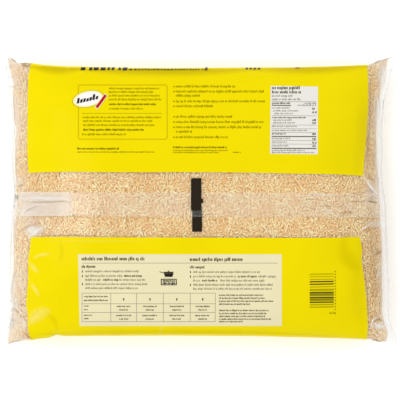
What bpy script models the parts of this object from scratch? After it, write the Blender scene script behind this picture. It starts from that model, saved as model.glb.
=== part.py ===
"""Sealed pillow bag of long grain rice, clear film, lying face down with its back seam up.

The bag is one closed solid. It is two sheets of film that meet along the two long folds and in a
flat sealed fin at each end. X runs along the bag, Y across it and Z up, in metres, with the origin
on the floor under the middle of the bag.
"""
import math
import random

import bmesh
import bpy
import numpy as np

# Driving dimensions of the bag
LENGTH_AT_CORNERS = 0.470  # between the tips of the ears
FIN_REACH = {-1: 0.2194, 1: 0.2157}  # from the middle to the outer edge of each fin, half way across
WIDTH_AT_MIDDLE = 0.3196  # across the long folds, where the bag is full
WIDTH_AT_CORNERS = 0.3453  # across the tips of the ears, where the film lies flat
HEIGHT = 0.092  # of the crown
FILM = 0.0016  # the two sealed layers of film, thick enough to be a sound solid

# Heights above the floor
FOLD_HEIGHT = 0.042  # of the long folds
SEAL_HEIGHT = 0.035  # of the fins, half way across
EAR_DROOP = 0.009  # the tips of the ears hang this much lower than the fins
BELLY_PRESS = 0.005  # how far the floor presses the belly in

# How the fullness runs out towards the seals and the folds
END_ROUND = 0.105  # length over which the bag thins down to a seal
END_POWER, END_SHAPE = 2.3, 0.80
CROWN_POWER, CROWN_SHAPE = 2.3, 1.9
BELLY_POWER, BELLY_SHAPE = 3.0, 1.9

# The ears
EAR_LENGTH = {-1: 0.090, 1: 0.125}  # of the flare of the long folds at each end
EAR_FLARE = {-1: 1.8, 1: 2.3}
EAR_HOLLOW = 3.6  # how late the end edge bends out to the tip
SIDE_DRIFT = -0.0014  # the full part lies this far off the middle of the ears

# The fins beyond the rice, and the rise and fall of each along its length
FIN_WIDTH = {-1: 0.0045, 1: 0.0075}
FIN_WAVE, FIN_WAVES = 0.0022, 2.5

# The outer edge of each fin is a hollow curve with bulges and notches. Each is a place across the
# bag, a width and how far it stands out.
EDGE_BULGES = {
    -1: ((-0.060, 0.036, 0.0056), (0.128, 0.010, 0.0026), (-0.120, 0.005, -0.0022), (0.045, 0.02, 0.0014)),
    1: ((-0.066, 0.062, 0.0062), (-0.132, 0.014, -0.0030), (0.085, 0.030, -0.0012)),
}

# The back seam, a strip of film folded flat along the bag
SEAM_MIDDLE, SEAM_WIDTH = -0.0042, 0.0280
SEAM_STEP, SEAM_EDGE = 0.0010, 0.0008

# Gathers that run in from the seals, each within these depths, lengths, widths and slants
GATHERS = 7
GATHER_DEPTH, GATHER_LENGTH, GATHER_WIDTH = (0.0014, 0.0034), (0.030, 0.075), (0.010, 0.016)
GATHER_SLANT, GATHER_FAN = 0.25, 0.6
GATHER_START, GATHER_SPREAD, GATHER_RIM = 0.008, 0.6, 1.6

# The share of the half width beside a long fold where lumps and gathers fade out
FOLD_CALM = 0.14

# Dents along the long folds. Each is a place along the bag, a side and a depth.
DENT_WIDTH, DENT_REACH = 0.0055, 6
DENTS = (
    (-0.214, 1, 0.0030),
    (-0.168, -1, 0.0030),
    (-0.120, -1, 0.0009),
    (-0.150, 1, 0.0008),
    (0.060, 1, 0.0006),
    (0.150, 1, 0.0010),
    (0.203, 1, 0.0024),
    (0.222, -1, 0.0018),
)

# Slow lumps of the rice under the film. Each is a height, its lengths along and across, and a shift.
SWELLS = ((0.0011, 0.085, 0.106, 0.7), (0.0007, 0.190, 0.062, 2.1), (0.0008, 0.130, 0.210, 4.0))

# The mesh
LENGTHS, WIDTHS = 46, 50
LENGTH_EVENNESS = 0.45  # the rest of the spacing closes up towards the seals
SEED = 8

YELLOW = (0.90, 0.75, 0.004, 1.0)


def clear_scene():
    for old in list(bpy.data.objects):
        bpy.data.objects.remove(old)


def bump(where, middle, width):
    """A smooth hill of height 1."""
    return np.exp(-(((where - middle) / width) ** 2))


def end_edge(across, end):
    """How far a fin's outer edge stands from the middle, by the place across the bag."""
    bow = LENGTH_AT_CORNERS / 2 - FIN_REACH[end]
    edge = FIN_REACH[end] + bow * np.abs(across / (WIDTH_AT_CORNERS / 2)) ** EAR_HOLLOW
    for place, width, reach in EDGE_BULGES[end]:
        edge = edge + reach * bump(across, place, width)
    return edge


def half_width(along):
    """Half the width between the long folds, by the place along the bag."""
    half = WIDTH_AT_MIDDLE / 2
    for end in (-1, 1):
        reach = 1 - (LENGTH_AT_CORNERS / 2 - end * along) / EAR_LENGTH[end]
        flare = (WIDTH_AT_CORNERS - WIDTH_AT_MIDDLE) / 2
        half = half + flare * np.clip(reach, 0.0, 1.0) ** EAR_FLARE[end]
    return half


def fullness(inward):
    """From 0 at a seal to 1 where the bag is at its full height."""
    run = np.clip(1 - inward / END_ROUND, 0.0, 1.0)
    return (1 - run**END_POWER) ** END_SHAPE


def seal_height(across, end):
    """Height of the fin at one end, a slow wave that droops at the ears."""
    share = across / (WIDTH_AT_CORNERS / 2)
    wave = FIN_WAVE * np.sin(FIN_WAVES * math.pi * share + end)
    return SEAL_HEIGHT - EAR_DROOP * np.abs(share) ** EAR_HOLLOW + wave


def make_gathers(rng):
    """Valleys that start at the two seals and fan in from there."""
    gathers = []
    for end in (-1, 1):
        for number in range(GATHERS):
            place = WIDTH_AT_MIDDLE * ((number + rng.uniform(0.25, 0.75)) / GATHERS - 0.5)
            fan = -GATHER_FAN * place / WIDTH_AT_MIDDLE
            gathers.append(
                {
                    "end": end,
                    "place": place,
                    "slant": rng.uniform(-GATHER_SLANT, GATHER_SLANT) + fan,
                    "length": rng.uniform(*GATHER_LENGTH),
                    "width": rng.uniform(*GATHER_WIDTH),
                    "depth": rng.uniform(*GATHER_DEPTH),
                }
            )
    return gathers


def gathered(along, across, inward, gathers):
    """How far the gathers push the film in. Each valley has a low rim on both sides."""
    depth = np.zeros_like(along)
    for gather in gathers:
        line = gather["place"] + gather["slant"] * inward
        width = gather["width"] * (GATHER_SPREAD + inward / gather["length"])
        off = (across - line) / width
        valley = np.exp(-(off**2)) * np.cos(GATHER_RIM * off)
        run = (1 - np.exp(-inward / GATHER_START)) * bump(inward, 0.0, gather["length"])
        depth += gather["depth"] * valley * run * (along * gather["end"] > 0)
    return depth


def fold_dents(along, share):
    """How far the long folds are pushed in at the dents."""
    dents = np.zeros_like(along)
    for place, side, depth in DENTS:
        dents += depth * bump(along, place, DENT_WIDTH) * (share * side > 0)
    return dents * np.abs(share) ** DENT_REACH


def swell(along, across):
    """Slow lumps that the rice makes under the film."""
    lumps = np.zeros_like(along)
    for height, length, width, shift in SWELLS:
        turn_along = 2 * math.pi * along / length + shift
        turn_across = 2 * math.pi * across / width - shift
        lumps += height * np.sin(turn_along) * np.cos(turn_across)
    return lumps


def film_point(length_share, width_share, side, gathers):
    """A point of the upper (side 1) or lower (side -1) sheet. The shares run from -1 to 1."""
    across = width_share * half_width(length_share * LENGTH_AT_CORNERS / 2)
    edge = np.where(length_share < 0, end_edge(across, -1), end_edge(across, 1))
    along = length_share * edge
    half = half_width(along)
    fin = np.where(along < 0, FIN_WIDTH[-1], FIN_WIDTH[1])
    inward = np.maximum(edge - fin - np.abs(along), 0.0)
    full = fullness(inward)
    across = width_share * half + SIDE_DRIFT * full
    across = across - np.sign(width_share) * fold_dents(along, width_share)
    seam_line = seal_height(across, np.sign(along))
    middle = seam_line + (FOLD_HEIGHT - seam_line) * full
    open_share = 1 - np.abs(width_share)
    if side > 0:
        rise = (1 - np.abs(width_share) ** CROWN_POWER) ** (1 / CROWN_SHAPE)
        height = middle + (HEIGHT - FOLD_HEIGHT) * full * rise
        height = height + swell(along, across) * full * np.minimum(1, open_share / FOLD_CALM)
        height = height - gathered(along, across, inward, gathers) * np.minimum(1, open_share / FOLD_CALM)
        strip = np.abs(across - SEAM_MIDDLE) < SEAM_WIDTH / 2 + SEAM_EDGE / 4
        height = height + SEAM_STEP * strip + FILM / 2
    else:
        drop = (1 - np.abs(width_share) ** BELLY_POWER) ** (1 / BELLY_SHAPE)
        height = middle - (FOLD_HEIGHT + BELLY_PRESS) * full * drop
        height = height + gathered(along, -across, inward, gathers) * np.minimum(1, open_share / FOLD_CALM)
        height = np.maximum(height - FILM / 2, 0.0)
    return np.array((along, across, height))


def length_shares():
    """The rows of the mesh along the bag, closer together near the seals, with one along each seal."""
    even = np.linspace(-1, 1, LENGTHS + 1)
    shares = LENGTH_EVENNESS * even + (1 - LENGTH_EVENNESS) * np.sin(even * math.pi / 2)
    for end in (-1, 1):
        seal = 1 - FIN_WIDTH[end] / FIN_REACH[end]
        nearest = np.abs(shares - end * seal).argmin()
        shares[nearest] = end * seal
    return shares


def width_shares():
    """The columns of the mesh across the bag, closer together near the folds and at the seam's edges."""
    shares = list(np.sin(np.linspace(-1, 1, WIDTHS + 1) * math.pi / 2))
    half = WIDTH_AT_MIDDLE / 2
    for edge in (-SEAM_WIDTH / 2, SEAM_WIDTH / 2):
        at = (SEAM_MIDDLE - SIDE_DRIFT + edge) / half
        gap = SEAM_EDGE / 2 / half
        shares = [s for s in shares if abs(s - at) > 3 * gap]
        shares += [at - gap, at + gap]
    return np.array(sorted(shares))


def make_sheet(mesh, side, gathers):
    """One sheet of film, a grid whose points are set on the bag's surface. Returns its rim."""
    rows, columns = length_shares(), width_shares()
    made = bmesh.ops.create_grid(
        mesh, x_segments=len(rows) - 1, y_segments=len(columns) - 1, size=1.0
    )["verts"]
    made.sort(key=lambda v: (round(v.co.x, 4), round(v.co.y, 4)))
    row, column = np.meshgrid(rows, columns, indexing="ij")
    points = film_point(row, column, side, gathers).reshape(3, -1).T
    for vertex, point in zip(made, points):
        vertex.co = point
    faces = {face for vertex in made for face in vertex.link_faces}
    if side < 0:
        bmesh.ops.reverse_faces(mesh, faces=list(faces))
    return {edge for face in faces for edge in face.edges if edge.is_boundary}


def make_bag():
    """The whole bag: two sheets, joined all round by the edge of the film."""
    gathers = make_gathers(random.Random(SEED))
    mesh = bmesh.new()
    rims = make_sheet(mesh, 1, gathers) | make_sheet(mesh, -1, gathers)
    bmesh.ops.bridge_loops(mesh, edges=list(rims))
    bmesh.ops.triangulate(mesh, faces=mesh.faces[:], quad_method="SHORT_EDGE")
    bmesh.ops.recalc_face_normals(mesh, faces=mesh.faces[:])
    centre_on_floor(mesh)
    data = bpy.data.meshes.new("rice_bag")
    mesh.to_mesh(data)
    mesh.free()
    bag = bpy.data.objects.new("rice_bag", data)
    bpy.context.scene.collection.objects.link(bag)
    data.shade_smooth()
    data.materials.append(make_material("printed_film", YELLOW, 0.35))
    return bag


def centre_on_floor(mesh):
    """Moves the bag so that the origin is under the middle of its box."""
    points = np.array([v.co for v in mesh.verts])
    low, high = points.min(axis=0), points.max(axis=0)
    shift = -(low + high) / 2
    shift[2] = -low[2]
    bmesh.ops.translate(mesh, verts=mesh.verts[:], vec=shift)


def make_material(name, colour, roughness):
    material = bpy.data.materials.new(name)
    material.use_nodes = True
    shader = material.node_tree.nodes["Principled BSDF"]
    shader.inputs["Base Color"].default_value = colour
    shader.inputs["Roughness"].default_value = roughness
    shader.inputs["Metallic"].default_value = 0.0
    return material


clear_scene()
make_bag()
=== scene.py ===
"""Looks of a sealed clear pillow bag of long grain rice, which lies on its front, back seam up.

The bag's solid gives the form. Here it becomes thin film, yellow where it is printed and clear
where the rice shows, over a core of rice with real grains on it. The print is fields of colour and
small plain blocks. Places that were read from the photograph are in its pixels, x to the right and
y down, and the camera casts them onto the film, so that they sit on the bag from every side.
"""

import contextlib
import math
from collections import namedtuple

import bmesh
import bpy
import numpy as np
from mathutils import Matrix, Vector, noise
from mathutils.bvhtree import BVHTree
from mathutils.kdtree import KDTree


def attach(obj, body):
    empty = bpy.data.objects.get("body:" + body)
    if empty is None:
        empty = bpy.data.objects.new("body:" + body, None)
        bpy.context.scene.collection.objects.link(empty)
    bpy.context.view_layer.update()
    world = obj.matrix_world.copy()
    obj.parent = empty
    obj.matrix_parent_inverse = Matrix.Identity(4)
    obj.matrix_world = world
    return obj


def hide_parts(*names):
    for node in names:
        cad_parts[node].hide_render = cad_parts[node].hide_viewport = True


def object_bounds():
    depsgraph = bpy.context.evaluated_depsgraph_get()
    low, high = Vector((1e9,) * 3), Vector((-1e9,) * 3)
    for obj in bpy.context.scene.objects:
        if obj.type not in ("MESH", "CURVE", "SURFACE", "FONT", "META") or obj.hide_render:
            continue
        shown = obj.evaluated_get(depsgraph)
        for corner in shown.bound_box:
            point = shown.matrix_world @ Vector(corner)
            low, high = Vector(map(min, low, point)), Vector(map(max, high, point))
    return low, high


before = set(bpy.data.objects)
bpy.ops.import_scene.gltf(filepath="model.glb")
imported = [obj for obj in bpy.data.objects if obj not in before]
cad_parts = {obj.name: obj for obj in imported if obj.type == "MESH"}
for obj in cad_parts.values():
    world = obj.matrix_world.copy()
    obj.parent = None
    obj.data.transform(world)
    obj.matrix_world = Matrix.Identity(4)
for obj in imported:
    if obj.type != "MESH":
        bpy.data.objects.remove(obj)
cad_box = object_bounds()

bl_info = {
    "name": "Clear bag of rice",
    "version": (1, 0, 0),
    "blender": (4, 5, 0),
    "location": "View3D > Sidebar > Rice bag",
    "description": "Makes a clear pillow bag of rice from its plain solid",
    "category": "Add Mesh",
}

NODE = "rice_bag"
BODY = "root"

# How the photograph sees the bag, from straight above
PHOTO_PIXELS = 400
PHOTO_MIDDLE = (199.5, 200.5)
PIXEL = 0.00118
SIGHT_HEIGHT = 0.040
SENSOR = 0.036

# Distances within which points are merged, in a copy of the solid and in a fine mesh
MERGE = 0.00002
FINE_MERGE = 0.000001

# How far the print lies off the film, in layers of LIFT, and the strokes of painted highlights and
# painted shade
LIFT = 0.00012
STROKE_LIFT = 0.00055
SHADE_LIFT = 0.0003
RICE_SHADE_LIFT = 0.0004

# Thickness up to which the solid counts as a sealed fin, and over how much more thickness the
# film is back at the solid's
SOLID_FIN = 0.0017
FIN_RUN = 0.006

# From which share of the half length a place counts as near an end, and where the thickness of a
# point there is measured, slightly further in than the point
END_SHARE = 0.8
INWARD = (0.993, 0.993, 1.0)

# The milk of the fins: how much it is at most, below which extra thickness, and how it rises
FIN_MILK = 0.42
FIN_MILK_BELOW = 0.020
FIN_MILK_RISE = 1.3

# The most milk that the film has anywhere
MOST_MILK = 0.8

# The film's ripples: how often each kind comes along each axis, and how strong it is
RIPPLES = (((60, 170, 60), 1.0), ((210, 320, 200), 0.6))

# The share of the half length at which they start to grow, over which they grow, how steeply, and
# how strong they are before it. All relief runs out in the lowest REST_RUN of the bag.
RIPPLE_START, RIPPLE_RUN, RIPPLE_RISE = 0.72, 0.22, 1.5
RIPPLE_LEAST = 0.12
REST_RUN = 0.004

# Borders of the print on the film, each a few points that a smooth curve runs through
LEFT_BORDER = ((64, 30.8), (71, 29.2), (80, 28.2), (92, 27.8), (122, 27.4), (160, 27.6),
               (172, 28.4), (205, 30.2), (238, 30.9), (248, 29.9), (258, 28.4), (276, 28.1),
               (295, 26.9), (305, 26.3), (311, 27.4), (326, 27.8), (333, 28.7), (342, 31.2))
RIGHT_BORDER = ((64, 366.8), (74, 367.7), (90, 368.3), (110, 368.1), (122, 367.4), (131, 366.8),
                (140, 366.1), (150, 365.3), (160, 364.3), (172, 363.4), (205, 361.0), (238, 360.2),
                (248, 361.9), (262, 361.6), (270, 363.0), (285, 364.8), (300, 366.4), (312, 367.2),
                (330, 367.6), (342, 366.6))
UPPER_EDGE = ((24, 173.2), (42, 172.3), (120, 172.2), (240, 172.5), (300, 173.7), (342, 174.6),
              (359, 175.6), (372, 175.6))
LOWER_EDGE = ((24, 237.6), (34, 237.2), (54, 237.0), (90, 237.3), (180, 237.5), (340, 237.5),
              (358, 237.2), (368, 238.6))

# Half the bag's height in pixels, how far the film's long folds lie from the solid's, in pixels
# down the photograph, and how steeply that grows from the bag's middle to a fold
HALF_SEEN = 137
NUDGE_RISE = 6
UPPER_NUDGE = ((4, 0.6), (12, 0.3), (18, 1.3), (30, 1.2), (36, 1.4), (42, 1.1), (48, 1.0),
               (60, 0.6), (80, 0.1), (90, 0.9), (100, 1.3), (140, 2.0), (170, 2.1), (220, 1.7),
               (260, 1.4), (300, 1.3), (312, 0.8), (320, 0.6), (340, 1.7), (352, 2.2), (364, 2.7),
               (374, 1.6), (386, 0.7), (396, 0.0))
LOWER_NUDGE = ((4, 0.9), (12, 0.0), (24, -1.0), (30, -0.3), (36, -0.7), (42, -0.7), (48, -0.4),
               (53, -0.9), (57, -1.5), (61, -0.8), (66, -1.1), (80, -1.2), (140, -1.8), (220, -1.6),
               (260, -1.2), (300, -0.1), (330, -0.1), (352, -0.8), (366, -1.2), (374, -1.0),
               (380, 0.3), (388, -1.8), (397, 0.0))

# Outer edges of the fins, and where the rice ends inside them, by the row of the photograph
LEFT_FIN = ((58, 2.3), (66, 4.9), (74, 6.1), (82, 9.2), (90, 8.1), (98, 9.5), (106, 10.9),
            (114, 11.9), (122, 12.6), (130, 13.8), (138, 13.3), (146, 13.2), (154, 11.9),
            (162, 11.8), (170, 11.9), (178, 12.9), (186, 13.6), (194, 14.1), (202, 13.2),
            (210, 12.3), (218, 11.8), (226, 10.9), (234, 10.4), (242, 10.2), (250, 9.8),
            (258, 9.6), (266, 9.2), (274, 9.2), (282, 9.9), (290, 9.6), (298, 9.5), (306, 10.8),
            (314, 8.9), (322, 8.8), (330, 6.1), (338, 3.7), (344, 2.8))
RIGHT_FIN = ((62, 394.9), (70, 392.2), (78, 390.3), (86, 388.7), (94, 386.7), (102, 384.5),
             (110, 384.0), (118, 383.3), (126, 382.2), (134, 382.2), (142, 382.7), (150, 383.0),
             (158, 382.7), (166, 382.4), (174, 382.2), (182, 382.8), (190, 384.0), (198, 385.5),
             (206, 386.2), (214, 386.7), (230, 386.9), (246, 387.5), (262, 388.1), (278, 388.7),
             (294, 389.4), (302, 389.3), (310, 389.0), (318, 389.8), (326, 392.0), (334, 395.9),
             (342, 398.0))
LEFT_RICE = ((58, 7.6), (64, 8.8), (70, 10.2), (76, 11.8), (82, 13.4), (94, 13.2), (106, 14.0),
             (118, 14.3), (130, 16.4), (142, 15.9), (160, 16.1), (178, 16.3), (190, 16.6),
             (202, 17.4), (214, 16.8), (220, 16.0), (226, 15.2), (238, 14.3), (250, 14.4),
             (262, 14.3), (274, 14.0), (286, 12.9), (292, 12.0), (298, 12.2), (304, 13.7),
             (310, 12.8), (322, 12.0), (328, 10.6), (334, 9.7), (340, 8.4))
RIGHT_RICE = ((58, 388.0), (64, 386.8), (70, 384.8), (76, 383.2), (82, 381.4), (88, 380.4),
              (94, 379.8), (100, 378.8), (106, 377.4), (118, 376.7), (130, 376.2), (148, 376.3),
              (160, 377.1), (172, 378.0), (184, 379.0), (196, 378.8), (208, 379.2), (220, 380.2),
              (232, 381.1), (250, 382.0), (274, 381.5), (292, 382.1), (300, 382.7), (310, 381.8),
              (316, 382.4), (322, 384.0), (328, 386.4), (334, 387.0), (340, 385.6))

# How many pixels from the photograph's middle the film starts to move to a fin's edge, and where it
# has moved all the way. The film's own edge in a row is looked for in ROW_REACH rows either side.
FIN_REACH = (145, 180)
ROW_REACH = 2.5

Crease = namedtuple("Crease", "start end height width")

# Creases of the film, with heights and widths in millimetres. A height below zero is a groove.
CREASES = (
    Crease((361, 174), (379, 200), 1.3, 2.2),
    Crease((350, 201.5), (377, 201.5), -1.1, 1.6),
    Crease((366, 228), (381, 221), 0.9, 1.5),
    Crease((369, 231), (383, 226), -0.6, 1.5),
    Crease((366, 98), (379, 122), 0.8, 2.4),
    Crease((372, 84), (384, 70), 0.9, 2.2),
    Crease((371, 140), (380, 168), 0.7, 2.0),
    Crease((372, 262), (383, 282), 0.7, 2.4),
    Crease((371, 334), (378, 327), 0.8, 1.3),
    Crease((368, 330), (374, 323), 0.8, 1.3),
    Crease((29, 280), (42, 298), 0.9, 2.4),
    Crease((28, 308), (52, 316), 0.8, 4.0),
    Crease((28, 252), (52, 260), 0.5, 2.6),
    Crease((14, 303), (29, 303), -1.2, 1.8),
    Crease((16, 312), (30, 322), 0.7, 2.0),
    Crease((18, 236), (42, 224), 0.8, 2.6),
    Crease((14, 110), (24, 96), 0.6, 2.4),
    Crease((16, 190), (27, 199), -0.9, 1.8),
    Crease((22, 64), (34, 69), -1.2, 2.2),
    Crease((12, 70), (24, 76), 0.6, 2.0),
    Crease((160, 335), (163, 322), -0.5, 2.2),
    Crease((46, 66), (66, 68.5), 0.5, 1.8),
    Crease((52, 331), (64, 322), 0.8, 2.6),
    Crease((330, 67), (344, 72), 0.5, 2.0),
)
CORNER_SWIRL = Crease((377, 321), (377, 321), 1.5, 1.5)
CORNER_SWIRL_RADIUS = 5.0


Stroke = namedtuple("Stroke", "places width amount")

# Soft painted highlights and painted shade lines on the rice's film, where it folds and creases,
# and below them painted highlights and painted shade on the print: each is a line of places, its
# half width and how strong it is
PAINTED_HIGHLIGHTS = (
    Stroke(((21, 198.2), (33, 197.6), (48, 198.4), (72, 199.4)), 2.9, 0.62),
    Stroke(((28, 238.5), (34, 233.5), (38, 230), (45, 226.5)), 3.4, 0.55),
    Stroke(((21, 214), (30, 209), (40, 205), (52, 204)), 3.0, 0.25),
    Stroke(((25.8, 71.6), (28.2, 70.4)), 1.1, 0.50),
    Stroke(((15, 303.4), (18.5, 309), (22.5, 313.8), (27, 313.6)), 1.2, 0.45),
    Stroke(((22, 317.5), (24.5, 323), (23.5, 331)), 3.0, 0.50),
    Stroke(((363, 176), (368, 183.8), (372.6, 189.6), (377.2, 194.8), (380, 200)), 1.9, 0.70),
    Stroke(((374, 176), (377.9, 184)), 1.0, 0.45),
    Stroke(((359.2, 230.4), (364, 227.5), (368.6, 224.6)), 1.2, 0.70),
    Stroke(((367.5, 225), (373, 221.8)), 1.0, 0.50),
    Stroke(((371, 200.2), (377.6, 201.2)), 0.8, 0.45),
    Stroke(((304, 193.8), (322, 194.4), (332, 195.6)), 1.6, 0.30),
    Stroke(((343, 204), (350, 208), (352, 212)), 1.4, 0.30),
    Stroke(((318, 211), (334, 211.6)), 2.4, 0.22),
    Stroke(((376, 140), (376.8, 160), (377.8, 178)), 3.0, 0.45),
    Stroke(((373.2, 94), (376, 98), (377.6, 104), (378.8, 122)), 1.3, 0.65),
    Stroke(((383.4, 63), (382.2, 75), (380, 88)), 2.0, 0.60),
    Stroke(((370.2, 328.5), (371.5, 323), (374.3, 318.6), (378.6, 316.2)), 1.1, 0.85),
    Stroke(((373.4, 323), (376.7, 325.6), (384.6, 327)), 2.3, 0.75),
    Stroke(((372.2, 331.4), (380, 337.4)), 1.0, 0.60),
    Stroke(((376, 329.4), (383, 334.4)), 1.0, 0.60),
    Stroke(((381.4, 266), (382.4, 290), (382, 305), (381.4, 317)), 1.6, 0.45),
    Stroke(((379, 269), (375.8, 280)), 1.3, 0.45),
)
# Dark strokes: painted shade along creases, under folds and along the edges of the print
PAINTED_SHADE_LINES = (
    Stroke(((23.5, 201.6), (40, 202.1), (56, 201.9), (74, 201.6)), 0.7, 0.60),
    Stroke(((15, 217.2), (30, 216.9), (50, 216.6), (71, 216.6)), 0.7, 0.35),
    Stroke(((24, 213.5), (30, 209), (39, 206)), 1.2, 0.28),
    Stroke(((19, 231.5), (28, 226.5), (40, 223.2)), 1.8, 0.30),
    Stroke(((16.5, 187.4), (25, 184)), 1.8, 0.30),
    Stroke(((42, 236.0), (60, 235.3), (80, 235.5), (98, 236.0)), 0.9, 0.50),
    Stroke(((104, 236.2), (150, 236.4), (210, 236.4), (300, 236.0)), 0.7, 0.30),
    Stroke(((84, 173.0), (110, 172.9), (150, 173.0), (190, 173.0)), 0.7, 0.30),
    Stroke(((9.2, 57.3), (13.3, 59.5), (16.6, 62.4)), 0.6, 0.65),
    Stroke(((18.6, 63.6), (25, 63.4), (32, 64.2)), 0.8, 0.70),
    Stroke(((21, 65.0), (26, 66.0), (31, 66.4)), 2.0, 0.60),
    Stroke(((27.2, 78), (27.4, 90)), 0.7, 0.40),
    Stroke(((26.0, 118), (26.6, 124)), 0.7, 0.40),
    Stroke(((13.6, 92), (14.2, 110), (14.6, 118), (15.6, 127)), 0.7, 0.40),
    Stroke(((15.6, 130), (15.8, 160), (16.6, 192)), 0.7, 0.35),
    Stroke(((16.4, 206), (14.6, 225), (14.0, 252)), 0.7, 0.35),
    Stroke(((15.3, 266), (12.9, 280.6), (11.5, 301)), 0.7, 0.45),
    Stroke(((12.8, 304.5), (12.1, 317), (9.6, 330), (7.4, 341)), 0.7, 0.40),
    Stroke(((15.0, 308.6), (20.2, 315)), 0.8, 0.50),
    Stroke(((20.4, 316.6), (26.5, 316.8)), 0.7, 0.50),
    Stroke(((19, 304.0), (26, 305.8)), 1.2, 0.42),
    Stroke(((25, 331.8), (27, 335.5), (32, 338.4)), 1.6, 0.50),
    Stroke(((6.5, 344.2), (12.8, 341.6), (24, 340.2)), 0.6, 0.60),
    Stroke(((365.5, 171), (370, 177), (375, 183)), 1.7, 0.32),
    Stroke(((365.5, 200.6), (372, 202), (378.4, 202.6)), 0.8, 0.85),
    Stroke(((350, 193.4), (364.5, 195.4)), 0.6, 0.35),
    Stroke(((353, 219.6), (361, 219.4)), 0.7, 0.45),
    Stroke(((366.8, 218), (367, 224)), 0.9, 0.35),
    Stroke(((363.6, 231.2), (370.2, 226.4)), 0.8, 0.45),
    Stroke(((366, 232), (372, 229)), 1.3, 0.35),
    Stroke(((368.4, 64.8), (376, 61.8), (383, 60.2), (393, 57)), 0.7, 0.60),
    Stroke(((386.6, 64), (385, 78), (381, 93)), 0.7, 0.30),
    Stroke(((378.8, 95), (379.6, 104), (379.8, 113)), 0.6, 0.40),
    Stroke(((369.4, 64), (370.2, 90), (369.8, 115), (368.2, 140), (366.0, 168)), 0.8, 0.40),
    Stroke(((362, 246), (364, 262), (366.4, 285), (368.2, 310), (369.2, 336)), 0.8, 0.42),
    Stroke(((374, 321.2), (378.4, 319.4), (383.4, 321.4)), 1.8, 0.45),
    Stroke(((373.2, 329.8), (379.6, 335)), 0.7, 0.50),
    Stroke(((370.4, 332.6), (378.6, 338.4)), 0.7, 0.50),
    Stroke(((370.6, 339.2), (376.7, 341.0), (380.3, 341.2), (384.6, 338)), 0.7, 0.65),
    Stroke(((379.9, 296), (379.5, 316)), 0.8, 0.35),
    Stroke(((381.5, 251), (374, 254.5)), 2.4, 0.50),
    Stroke(((304, 199.7), (319, 199.4)), 0.9, 0.35),
    Stroke(((320, 206.4), (335, 206.0)), 0.9, 0.40),
    Stroke(((338, 217), (346, 212.4), (355, 213.2)), 2.4, 0.35),
    Stroke(((350, 201.7), (364, 201.4)), 0.9, 0.45),
    Stroke(((346, 217.9), (362, 218.0), (378, 218.3)), 0.8, 0.40),
    Stroke(((302, 217.0), (322, 217.2)), 0.7, 0.30),
)

# Painted highlights on the yellow print, where its ripples would catch the light
PRINT_PAINTED_HIGHLIGHTS = (
    Stroke(((33.5, 258.6), (38.3, 256.0), (51, 253.4)), 2.6, 0.55),
    Stroke(((29.8, 262), (35.2, 269), (40, 272.8)), 3.2, 0.60),
    Stroke(((30.8, 282.5), (35.4, 289), (39.8, 296.4)), 2.8, 0.60),
    Stroke(((27.5, 324), (34, 318), (42, 312.5), (51, 310)), 8.5, 0.55),
    Stroke(((29.6, 325), (34.5, 318.5), (38, 309.5)), 3.6, 0.55),
    Stroke(((160.5, 334), (162.5, 325)), 1.8, 0.35),
    Stroke(((40, 240.5), (80, 240.8), (150, 240.9)), 1.6, 0.15),
)
# Painted shade on the yellow print, broad towards its right end and small near its lower left
PRINT_SHADES = (
    Stroke(((345, 236), (344, 250), (350, 262), (360, 271)), 11.0, 0.13),
    Stroke(((363, 96), (360, 140), (355, 176)), 9.0, 0.08),
    Stroke(((364, 236), (357, 280), (362, 334)), 13.0, 0.06),
    Stroke(((60, 240), (62, 252), (60, 262)), 4.0, 0.08),
    Stroke(((46, 312), (54, 320), (58, 331)), 4.0, 0.10),
)

# Painted shade that is darkest on a line along a long fold of the bag, where the film turns away
# from the light, and runs out on one side of it
EDGE_SHADES = (
    Stroke(((372, 65.6), (345, 66.4), (320, 67.4), (285, 67.8), (250, 68.6)), 9.5, 0.30),
    Stroke(((262, 68.2), (215, 68.9), (160, 69.0), (110, 68.7), (70, 68.1)), 10.0, 0.34),
    Stroke(((82, 68.3), (60, 67.6), (45, 66.6), (28, 65.6)), 9.5, 0.32),
    Stroke(
        ((30, 334.6), (60, 334.5), (120, 333.6), (200, 333.4), (280, 334.6), (340, 336.6)),
        6.0, 0.14,
    ),
)

# Broad painted shade on the clear film along the right end
RICE_SHADES = (
    Stroke(((373.5, 62), (373, 90), (371.5, 120), (370, 160), (371, 200)), 9.5, 0.11),
    Stroke(((371, 196), (373, 230), (374, 262), (375, 290), (376, 322)), 10.0, 0.19),
)

# Lines just inside the outer edges of the fins
FIN_LINES = [
    Stroke([(place + inward, row) for row, place in fin[::2]], 1.2, 0.34)
    for fin, inward in ((LEFT_FIN, 1.3), (RIGHT_FIN, -1.3))
]

# Each piece of strokes: its name, its strokes, their tone, how far off the film they lie, and
# whether they lie on one side of their lines only
PRINT_SHADOW = (0.46, 0.34, 0.0)
RICE_SHADOW = (0.38, 0.22, 0.09)
STROKES = (
    ("pale_folds", PAINTED_HIGHLIGHTS, (0.95, 0.93, 0.90), STROKE_LIFT, False),
    ("dark_folds", PAINTED_SHADE_LINES, RICE_SHADOW, STROKE_LIFT, False),
    ("print_glosses", PRINT_PAINTED_HIGHLIGHTS, (1.0, 0.90, 0.16), STROKE_LIFT, False),
    ("print_shades", PRINT_SHADES, PRINT_SHADOW, SHADE_LIFT, False),
    ("edge_shades", EDGE_SHADES, PRINT_SHADOW, SHADE_LIFT, True),
    ("rice_shades", RICE_SHADES, RICE_SHADOW, RICE_SHADE_LIFT, False),
    ("fin_edges", FIN_LINES, (0.66, 0.68, 0.66), STROKE_LIFT, False),
)

Haze = namedtuple("Haze", "place reach amount")
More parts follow.
